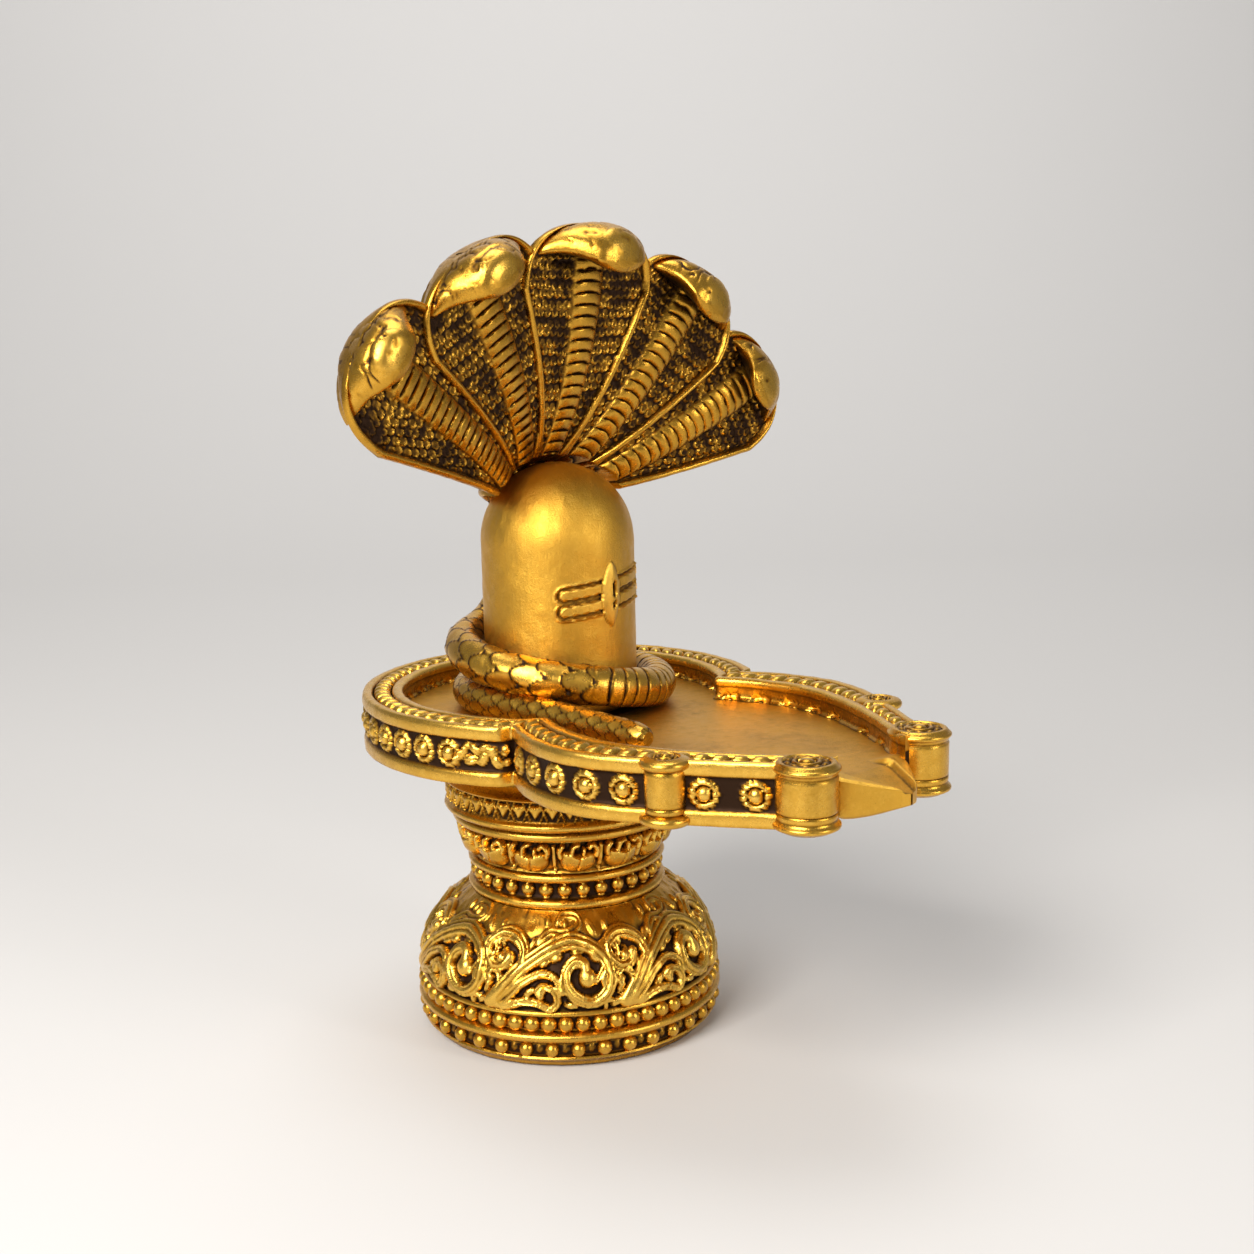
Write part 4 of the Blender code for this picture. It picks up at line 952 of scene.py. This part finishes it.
def make_lingam():
    radius, base = LINGAM_RADIUS, LINGAM_FOOT
    profile = [(13.2, base), (14.1, base + 0.3), (radius, base + 0.9)]
    profile += [(radius, z) for z in np.linspace(base + 1.6, 76.0, count(10))]
    profile += [(radius, z) for z in np.linspace(76.3, 92.6, count(66))]
    for t in np.linspace(0.0, math.pi / 2 - 0.012, count(26)):
        profile.append((radius * math.cos(t), DOME_Z + radius * math.sin(t)))
    shape = Shape()

    def mark(a, z):
        """Two fingers in raised rails on each side of an upright eye, and three dots at their ends."""
        u = ((a + math.pi / 2 + math.pi) % TAU - math.pi) * radius
        v = z - MARK_Z - MARK_SLOPE * u
        au = np.abs(u)
        end = np.maximum(au - (MARK_REACH - 0.95), 0.0)
        d = np.minimum(np.hypot(end, v + 1.5), np.hypot(end, v - 1.5))
        beside = ss(1.7, 2.0, au)
        finger = fall(0.78, 0.98, d) * beside
        trough = ss(0.85, 1.0, d) * fall(1.4, 1.6, d) * beside
        rail = peak(d, 1.72, 0.15) * beside
        h = 0.3 * finger - 0.4 * trough + 0.34 * rail
        dark = 0.62 * trough - 0.4 * rail - 0.3 * peak(d, 0.85, 0.12) * beside - 0.1 * finger
        for y0 in (-3.0, 0.0, 3.0):
            dot = np.sqrt(clamp(1 - ((u - MARK_REACH + 0.6) ** 2 + (v - y0) ** 2) / 0.3))
            h = h + 0.3 * dot
            dark = dark - 0.8 * dot
        s = np.abs(v) / 5.95
        width = 2.15 * clamp(1 - s ** 2) ** 0.75
        inside = au < width
        eye = 0.95 * clamp(1 - (au / np.maximum(width, 0.05)) ** 2) ** 0.6 * (1 - 0.5 * s ** 2)
        h = np.where(inside, np.maximum(eye, h), h)
        dark = np.where(inside, -0.35, dark)
        for y0, hh, ww in ((0.9, 1.7, 0.5), (-1.9, 0.85, 0.42)):
            hole = clamp(1 - ((u - 0.3) / ww) ** 2 - ((v - y0) / hh) ** 2)
            h = h - 0.9 * ss(0.0, 0.6, hole)
            dark = np.maximum(dark, 1.3 * ss(0.0, 0.3, hole) - 0.35)
        rim = peak(au - width, 0.18, 0.16) * (s < 1.03)
        return h, dark + 0.55 * rim * (~inside)

    store = {}

    def relief(a, z):
        h, dark = mark(a, z)
        store["dark"] = dark
        p = np.stack([14 * np.cos(a), 14 * np.sin(a), z], -1)
        return h + 0.06 * hand_noise(p, 7.0) + 0.05 * hand_noise(p, 1.6)

    def cavity(a, z, h):
        # Painted shade: the lingam darkens towards its foot, inside the coil.
        return store["dark"] + 0.5 * fall(LINGAM_FOOT, LINGAM_FOOT + 8.0, z) - 0.1

    lathe(shape, profile, count(320), relief, cavity, 0.015)
    shape.build("lingam_dome", "lingam", satin_gold)


# Serpent
FAN_Z, FAN_REACH, FAN_BACKSET, FAN_CURL = 97.3, 11.9, 25.7, 19.5
TAIL_RADIUS, LOW_RADIUS, COIL_RADIUS, COIL_Z = 2.2, 2.9, 3.5, 74.0
THROAT_PITCH = 2.05


def fan_front(x, z, thickness):
    reach = np.hypot(x, z - FAN_Z)
    lean = FAN_REACH - FAN_BACKSET * np.exp(-reach / FAN_CURL)
    inside = (SEAT + thickness) ** 2 - x * x - (z - DOME_Z) ** 2
    return np.where(inside > 0, np.minimum(lean, -np.sqrt(np.maximum(inside, 0.0))), lean)


def fan_point(lean, reach, across, front, hug=3.0):
    x = reach * math.sin(lean) + across * math.cos(lean)
    z = FAN_Z + reach * math.cos(lean) - across * math.sin(lean)
    return np.stack([x, -(fan_front(x, z, hug) + front), z], -1)


def sections(centres, wide, deep, outward, segments):
    """Rings of an oval tube along a path; outward points away from the lingam."""
    forward = unit(np.gradient(centres, axis=0))
    side = unit(np.cross(forward, outward))
    rise = unit(np.cross(side, forward))
    angle = np.linspace(0, TAU, segments, endpoint=False)
    cos, sin = np.cos(angle)[None, :, None], np.sin(angle)[None, :, None]
    side, rise, wide, deep = side[:, None, :], rise[:, None, :], wide[:, None, None], deep[:, None, None]
    p = centres[:, None, :] + side * (wide * cos) + rise * (deep * sin)
    return p, unit(side * cos / wide + rise * sin / deep), angle


def plates(walk, turn, pitch, across_count, seed):
    """Overlapping rounded plates on a tube: height, and how near each point is to a plate's edge."""
    row = walk / pitch
    k = np.floor(row)
    h = np.full(walk.shape, 0.2)
    edge = np.ones(walk.shape)
    for back in (0, 1):
        kk = k - back
        v = turn / TAU * across_count - 0.5 * (kk % 2)
        cell = np.floor(v + 0.5)
        wob = 0.1 * np.sin(3.7 * kk + 2.1 * (cell % across_count) + seed)
        d = np.sqrt(((row - kk) / (1.42 + wob)) ** 2 + ((v - cell) / 0.6) ** 2)
        inside = d < 1.0
        h = np.where(inside, 0.5 + 0.5 * d ** 2, h)
        edge = np.where(inside, ss(0.84, 0.97, d), edge)
    return h, edge


def make_body():
    """The snake's body: a tail lying in the tray, one turn round the lingam and the trunk up its back."""
    floor = FLOOR + 0.3
    stations = []  # x, y, z, half width and half depth
    side_x = -(SEAT + LOW_RADIUS)
    for t in (0.0, 0.03, 0.12, 0.3, 0.48, 0.65, 0.85):
        r = mix(TAIL_RADIUS, LOW_RADIUS, t)
        half = {0.0: 0.55, 0.03: 0.9}.get(t, 1.0) * r
        stations.append((mix(-15.7, side_x, t ** 1.5), mix(-39.6, 0.0, t), floor + r, half, half))
    start, level, end_angle = (math.radians(t) for t in (122.0, 300.0, 540.0))
    for angle in np.linspace(end_angle, start, 60):
        drop = min((angle - start) / (level - start), 1.0) ** 1.25
        r = mix(COIL_RADIUS, LOW_RADIUS, float(ss(level, end_angle, angle)))
        reach = SEAT + r
        stations.append((reach * math.cos(angle), reach * math.sin(angle), mix(COIL_Z, floor + r, drop), r, r))
    stations += [
        (-4.9, 17.35, 75.0, 3.5, 3.5), (-0.9, 18.15, 77.2, 3.5, 3.5), (1.7, 18.45, 81.2, 3.5, 3.2),
        (2.8, 18.65, 88.1, 3.9, 2.7), (3.2, 17.8, 95.5, 4.2, 2.4), (2.6, 16.2, 99.0, 5.0, 2.1),
        (1.6, 15.2, 101.8, 5.6, 1.8), (1.0, 14.6, 103.9, 5.6, 1.3),
    ]
    # A smooth path through the stations, in even steps
    path = curve(stations, 8)
    at, path = even_steps(path, walk_along(path[:, :3]), count(920))
    outward = unit(path[:, :3] * np.array([1, 1, 0]))
    p, normal, turn = sections(path[:, :3], path[:, 3], path[:, 4], outward, count(48))
    walk = np.broadcast_to(at[:, None], p.shape[:2])
    angle = np.broadcast_to(turn[None, :], p.shape[:2])
    trunk_start = at[-1] - 40.0
    h_small, edge_small = plates(walk, angle, 2.4, 7, 1.0)
    h_big, edge_big = plates(walk, angle, 3.9, 5, 2.0)
    # Cross bands on the part that turns to the front right
    band = (walk / 2.6 + 0.3 * np.cos(angle) ** 2 + 0.12 * np.sin(0.7 * walk)) % 1.0
    h_band = 0.75 - 0.75 * ss(0.82, 0.98, band) - 0.2 * fall(0.0, 0.1, band)
    edge_band = ss(0.78, 0.96, band)
    turned = 540.0 - (walk - 39.9) / math.radians(17.85)
    on_top = fall(372.0, 384.0, turned)
    right = ss(240.0, 252.0, turned) * on_top
    big = on_top * (1 - right)
    h = h_small * (1 - on_top) + h_big * big + h_band * right
    edge = edge_small * (1 - on_top) + edge_big * big + edge_band * right
    lift = (0.45 * (1 - on_top) + 0.6 * on_top) * (1 - 0.7 * ss(trunk_start, trunk_start + 5.0, walk))
    fade = ss(0.0, 3.0, walk)
    rough = 0.03 * hand_noise(p, 1.1) + 0.05 * hand_noise(p, 2.6)
    facing = ss(-0.75, -0.35, np.sin(angle))
    p = p + normal * (((h - 0.5) * lift * fade * facing + rough)[..., None])
    p[..., 2] = np.maximum(p[..., 2], FLOOR + 0.1)
    # Keep the coil off the lingam
    gap, clear = np.hypot(p[..., 0], p[..., 1]), LINGAM_RADIUS + 0.15
    push = np.where((p[..., 2] < DOME_Z - 0.1) & (gap < clear), clear / np.maximum(gap, 1e-6), 1.0)
    p[..., :2] *= push[..., None]
    cav = 1.15 * edge + 0.3 * (0.55 - h) - 0.22
    # Painted shade: the side of the body that faces the lingam, and its lowest part next to the tray floor,
    # are darkened.
    cav = cav + 0.55 * fall(-0.6, -0.1, np.sin(angle)) + 0.25 * fall(FLOOR, FLOOR + 2.0, p[..., 2])
    shape = Shape()
    shape.grid(p * MM, cav, False, True, flip=True)
    shape.cap(p[0] * MM, -0.2, flip=True)
    shape.cap(p[-1] * MM, 0.3)
    shape.build("serpent_body", "serpent", carved_gold)


# Hoods: name, lean in degrees, length, half width, and the snout's drop and reach forward
HOODS = (
    ("far_left", -56.8, 60.4, 13.2, 4.4, 8.0),
    ("left", -31.0, 55.0, 14.5, 4.8, 9.6),
    ("middle", 0.8, 52.8, 15.3, 6.8, 10.4),
    ("right", 33.2, 52.8, 14.1, 7.8, 8.7),
    ("far_right", 61.0, 54.2, 12.4, 9.0, 7.4),
)


def hood_half(reach, length, half):
    shoulder = 0.78 * length
    straight = half * (np.maximum(reach, 0.0) / shoulder) ** 1.08
    t = clamp((reach - shoulder) / (length - shoulder))
    return np.where(reach < shoulder, straight, half * (1.0 - t ** 2.5) ** (1.0 / 2.5))


def scale_marks(x, y, sx, sy, seed):
    """Staggered rounded scales: how far from a scale's middle each point is, and how far up the scale."""
    row = np.floor(y / sy)
    best = np.full(x.shape, 9.0)
    rise = np.zeros(x.shape)
    for dr in (-1, 0, 1):
        r = row + dr
        off = 0.5 * (r % 2)
        cell = np.round(x / sx - off)
        jx = 0.16 * np.sin(12.9 * cell + 7.1 * r + seed)
        jy = 0.16 * np.sin(5.7 * cell + 3.3 * r + 2 * seed)
        dx = (x / sx - off - cell - jx) / 0.52
        dy = (y / sy - r - 0.5 - jy) / 0.62
        d = np.sqrt(dx ** 2 + dy ** 2)
        rise = np.where(d < best, dy, rise)
        best = np.minimum(best, d)
    return best, rise


def root_hug(reach):
    """How far off the lingam a hood's sheet stays: close at its root."""
    return mix(0.4, 3.0, ss(8.0, 17.0, reach))


# The hoods that overlap each hood
HOOD_ORDER = {"far_left": ("left",), "left": ("middle",), "right": ("middle",), "far_right": ("right",),
              "middle": ()}


def tucked(name, lean, reach, across):
    """How far a point of one hood lies inside the outline of a hood that overlaps it, in millimetres."""
    x = reach * math.sin(lean) + across * math.cos(lean)
    z = reach * math.cos(lean) - across * math.sin(lean)
    inside = np.full(np.broadcast(reach, across).shape, -9.0)
    for other, lean_deg, length, half, *_ in HOODS:
        if other in HOOD_ORDER[name]:
            turn = math.radians(lean_deg)
            r = x * math.sin(turn) + z * math.cos(turn)
            a = x * math.cos(turn) - z * math.sin(turn)
            inside = np.maximum(inside, np.minimum(hood_half(r, length, half) - np.abs(a), length - r))
    return inside


def make_hood(name, lean_deg, length, half):
    """One hood: a rimmed cup of small scales with the banded throat down its middle, and a scaled back."""
    lean = math.radians(lean_deg)
    shape = Shape()
    # Front: rims, cup and throat in one sheet; shares run from one rim's outside to the other's
    share = np.linspace(0.0, 0.9985, count(215))
    closing = 0.8 + 0.2 * np.sin(0.5 * math.pi * (share - 0.8) / 0.2)
    reach = mix(6.0, length, np.where(share > 0.8, closing, share))
    width = np.maximum(hood_half(reach, length, half), 0.2)
    rim = 0.72
    full = clamp((width - 1.5) / 4.0)
    s = np.linspace(-1.0, 1.0, count(100))
    s = np.sign(s) * (1.0 - (1.0 - np.abs(s)) ** 1.25)
    S, W = np.meshgrid(s, width, indexing="xy")
    RR, FU = np.broadcast_to(reach[:, None], S.shape), np.broadcast_to(full[:, None], S.shape)
    across = S * W
    inner = W - np.abs(across)
    cord = dome((inner - rim) / rim) * (inner < 2.0 * rim)
    wall = ss(1.3 * rim, 2.6 * rim, inner)
    cup = -2.0 * FU * wall
    front = np.maximum(1.15 * cord * (0.4 + 0.6 * FU), np.where(inner < rim, 0.0, cup))
    cav = mix(0.35, 0.92, FU) * wall
    border = mix(0.5, -0.4, ss(0.25, 0.7, cord)) * (inner > rim) - 0.4 * (inner <= rim)
    cav = np.where(inner < 2.0 * rim, border, cav)
    # Small bright scales in the dark cup, brightest at the tip towards the root and dimmed towards the head by
    # painted shade under its roof
    d, up = scale_marks(across, RR, 1.7, 1.65, lean_deg)
    in_cup = ss(2.0 * rim, 2.9 * rim, inner) * FU
    plate = fall(0.8, 1.02, d)
    crescent = peak(d, 0.72, 0.2) * fall(-0.3, 0.3, up)
    patch = np.clip(0.85 + 0.8 * hand_noise(np.stack([across, RR, 0 * RR], -1), 2.4), 0.3, 1.2)
    # Painted shade: the scales dim towards the head, under its overhanging roof.
    shade = 1.0 - 0.55 * ss(0.72, 0.95, RR / length)
    bright = np.clip(1.3 * crescent + 0.38 * plate, 0.0, 1.25) * patch * shade
    front = front + (0.34 * crescent + 0.25 * plate) * in_cup
    cav = cav - 1.15 * bright * in_cup
    push = ss(-0.1, 0.9, tucked(name, lean, RR, across)) * ss(13.0, 19.0, RR)
    # Throat: smooth bands across the middle with narrow dark slots
    start, end = 5.5, 0.93 * length
    throat_half = mix(1.9, 3.55, clamp((RR - start) / (0.8 * (end - start))))
    on_throat = (np.abs(across) < throat_half) & (RR > start) & (RR < end)
    bend = 0.45 * (across / throat_half) ** 2
    band = ((RR + bend) / THROAT_PITCH) % 1.0
    toward_side = np.abs(across) / throat_half
    dip = ss(0.78, 0.86, band) * fall(0.93, 1.0, band) * fall(0.72, 0.95, toward_side)
    bandh = 0.82 + 0.18 * np.sin(math.pi * band) ** 0.5 - 0.42 * dip
    crown = 1.55 * clamp(1 - np.abs(across / (1.02 * throat_half)) ** 2.2) ** 0.6
    front = np.where(on_throat, np.maximum(front, crown * bandh + 0.18), front) - 3.4 * push
    slot = ss(0.78, 0.84, band) * fall(0.94, 1.0, band) * fall(0.75, 0.98, toward_side)
    cav = np.where(on_throat, -0.12 + slot + 0.75 * ss(0.86, 1.0, toward_side), cav)
    # Painted shade: where a hood lies behind its neighbour it is darkened.
    cav = np.maximum(cav, 0.85 * push)
    p = fan_point(lean, RR, across, front, root_hug(RR))
    p = p + 0.05 * hand_noise(p, 1.4)[..., None]
    shape.grid(p * MM, cav, loop_u=False)
    # Back: a bulge with plainer scales
    S2, W2 = np.meshgrid(np.linspace(-1.0, 1.0, count(26)), width, indexing="xy")
    R2, F2 = np.broadcast_to(reach[:, None], S2.shape), np.broadcast_to(full[:, None], S2.shape)
    across2 = S2 * W2
    edge = clamp(1.0 - np.abs(S2) ** 2.6)
    back = -(3.8 * F2 * edge ** 0.7 + mix(0.4, 1.35, ss(8.0, 14.0, R2)) * (1 - F2) * edge ** 0.5)
    d, _ = scale_marks(across2, R2, 2.4, 2.7, lean_deg + 3.0)
    groove = peak(d, 0.98, 0.12) * ss(0.25, 0.6, edge)
    pb = fan_point(lean, R2, across2, back + 0.22 * groove, root_hug(R2))
    pb = pb + 0.06 * hand_noise(pb, 1.6)[..., None]
    shape.grid(pb * MM, 0.75 * groove - 0.1 + 0.12 * hand_noise(pb, 3.0), loop_u=False, flip=True)
    # Root of the hood
    root = np.vstack([p[0], pb[0][::-1]])
    shape.cap(root * MM, 0.4, flip=True)
    shape.build(f"serpent_hood_{name}", "serpent", carved_gold)


HEAD_STATIONS = ((0.0, 0.84, 2.0), (0.28, 0.76, 2.7), (0.55, 0.57, 3.3), (0.8, 0.42, 3.3), (0.94, 0.31, 2.6),
                 (1.0, 0.16, 1.4))


def make_head(name, lean_deg, length, half, drop, snout_front):
    """The crest of a hood runs forward as a roof with large plates and narrows to a blunt snout."""
    lean = math.radians(lean_deg)
    stations = curve(HEAD_STATIONS, 10)
    stations = np.vstack([stations, [[1.004, 0.12, 1.1], [1.008, 0.07, 0.7], [1.01, 0.02, 0.2]]])
    theta = np.linspace(0, TAU, count(100), endpoint=False)
    T, share = np.meshgrid(theta, stations[:, 0], indexing="ij")
    wide, thick = np.broadcast_to(stations[:, 1] * half, T.shape), np.broadcast_to(stations[:, 2], T.shape)

    def surface(grow):
        across = (wide + grow) * np.cos(T)
        x_share, forward = np.minimum(np.abs(across) / half, 1.0), np.minimum(share, 1.0)
        arch = 0.22 * length * (1.0 - (1.0 - x_share ** 2.5) ** 0.4) * mix(1.0, 0.5, forward)
        reach = length - mix(2.4, drop, forward ** 2.2) + (thick + grow) * np.sin(T) - arch
        front = mix(-2.6, snout_front, share)
        return across, front, fan_point(lean, reach, across, front)

    across, front, p = surface(0.0)
    top = ss(-0.1, 0.35, np.sin(T))
    d, _ = scale_marks(across + 0.6, front + 1.3, 3.5, 3.2, 0.7 * lean_deg + 2.0)
    groove = peak(d, 0.98, 0.085) * top * fall(0.8, 0.92, share)
    patchy = ss(-0.5, 0.1, hand_noise(p + 31.0, 3.5))
    groove = groove * patchy
    ball_size = 0.6 if name in ("middle", "right") else 0.4
    snout = np.sqrt(clamp(1.0 - ((share - 0.88) / 0.16) ** 2 - (across / 3.6) ** 2))
    snout = snout * ss(-0.6, 0.1, np.sin(T))
    collar = peak(share, 0.7, 0.025) * top * (np.abs(across) < 3.4)
    lower_edge = peak(np.sin(T), -0.25, 0.22) * ss(0.15, 0.5, share)
    pits = np.clip(pit_noise(p, 1.3), 0.55, 1.0) - 0.55
    h = -0.3 * groove + ball_size * snout - 0.3 * collar * patchy + 0.25 * lower_edge - 0.7 * pits
    h = h + 0.10 * hand_noise(p, 2.6) + 0.02 * hand_noise(p, 1.0)
    p = surface(h)[2]
    cav = 1.15 * groove + 0.7 * collar * patchy + 2.2 * pits * top - 0.2 * top - 0.25 * snout
    # Painted shade: the underside of the head, under its roof, is darkened.
    cav = cav + 0.75 * fall(-0.75, -0.35, np.sin(T)) * fall(0.75, 0.95, share) + 0.04
    shape = Shape()
    shape.grid(p * MM, cav)
    shape.cap(p[:, 0] * MM, 0.2, flip=True)
    shape.cap(p[:, -1] * MM, -0.2)
    shape.build(f"serpent_head_{name}", "serpent", carved_gold)


make_foot()
make_bell()
make_neck()
make_lotus()
make_collar()
make_tray_wall()
make_basin()
make_posts()
make_lingam()
make_body()
for hood in HOODS:
    make_hood(*hood[:4])
    make_head(*hood)


# Floor, light and camera
VIEW_TURN = math.radians(-131.1)


def make_floor():
    size, depth, bend = 3.0, 1.5, 0.9
    back = np.array([-math.cos(VIEW_TURN), -math.sin(VIEW_TURN), 0.0])
    side = np.array([-back[1], back[0], 0.0])
    rows = [(-1.6, 0.0), (depth - bend, 0.0)]
    for t in np.linspace(0.0, math.pi / 2, 16)[1:]:
        rows.append((depth - bend + bend * math.sin(t), bend - bend * math.cos(t)))
    rows.append((depth, 2.4))
    p = np.array([[back * along + side * across + UP * up for along, up in rows] for across in (-size, size)])
    mesh = bpy.data.meshes.new("floor")
    faces = grid_faces(2, len(rows), False, False)
    mesh.from_pydata([tuple(v) for v in p.reshape(-1, 3)], [], [tuple(int(k) for k in f) for f in faces])
    mesh.shade_smooth()
    obj = bpy.data.objects.new("floor", mesh)
    bpy.context.scene.collection.objects.link(obj)
    material = bpy.data.materials.new("pale_floor")
    material.use_nodes = True
    shader = material.node_tree.nodes["Principled BSDF"]
    shader.inputs["Base Color"].default_value = (0.60, 0.585, 0.57, 1.0)
    shader.inputs["Roughness"].default_value = 0.75
    mesh.materials.append(material)


def area_light(name, place, target, size, power, colour=(1.0, 1.0, 1.0)):
    light = bpy.data.lights.new(name, "AREA")
    light.shape = "RECTANGLE"
    light.size, light.size_y = size
    light.energy = power
    light.color = colour
    obj = bpy.data.objects.new(name, light)
    obj.location = place
    obj.rotation_euler = (Vector(target) - Vector(place)).to_track_quat("-Z", "Y").to_euler()
    bpy.context.scene.collection.objects.link(obj)


def view_place(right, up, near):
    """A place given as right, up and towards the viewer from the object's middle."""
    near_dir = np.array([math.cos(VIEW_TURN), math.sin(VIEW_TURN), 0.0])
    right_dir = np.array([-near_dir[1], near_dir[0], 0.0])
    p = right_dir * right + near_dir * near
    return (float(p[0]), float(p[1]), up)


make_floor()
area_light("key", view_place(-0.30, 0.46, 0.46), (0, 0, 0.09), (0.34, 0.34), 6.4, (1.0, 0.98, 0.95))
area_light("fill", view_place(0.6, 0.30, 0.45), (0, 0, 0.07), (0.14, 0.4), 1.6, (1.0, 0.98, 0.96))
area_light("top", view_place(0.0, 0.9, -0.15), (0, 0, 0.05), (0.5, 0.5), 3.0)
area_light("backdrop", view_place(0.0, 1.2, -0.5), view_place(0.0, 0.9, -1.5), (1.6, 0.6), 14.0)

bpy.context.scene.view_settings.view_transform = "Standard"
bpy.context.scene.view_settings.look = "None"
world = bpy.data.worlds.new("studio")
world.use_nodes = True
world.node_tree.nodes["Background"].inputs["Color"].default_value = (0.93, 0.92, 0.91, 1.0)
world.node_tree.nodes["Background"].inputs["Strength"].default_value = 0.29
bpy.context.scene.world = world

camera_data = bpy.data.cameras.new("camera")
camera_data.lens = 46.93
camera_data.sensor_width = 36.0
camera_data.clip_start = 0.01
camera = bpy.data.objects.new("camera", camera_data)
camera.location = (-0.20038, -0.22970, 0.13253)
camera.rotation_euler = (math.radians(79.4747), math.radians(1.1939), math.radians(-43.7069))
bpy.context.scene.collection.objects.link(camera)
bpy.context.scene.camera = camera
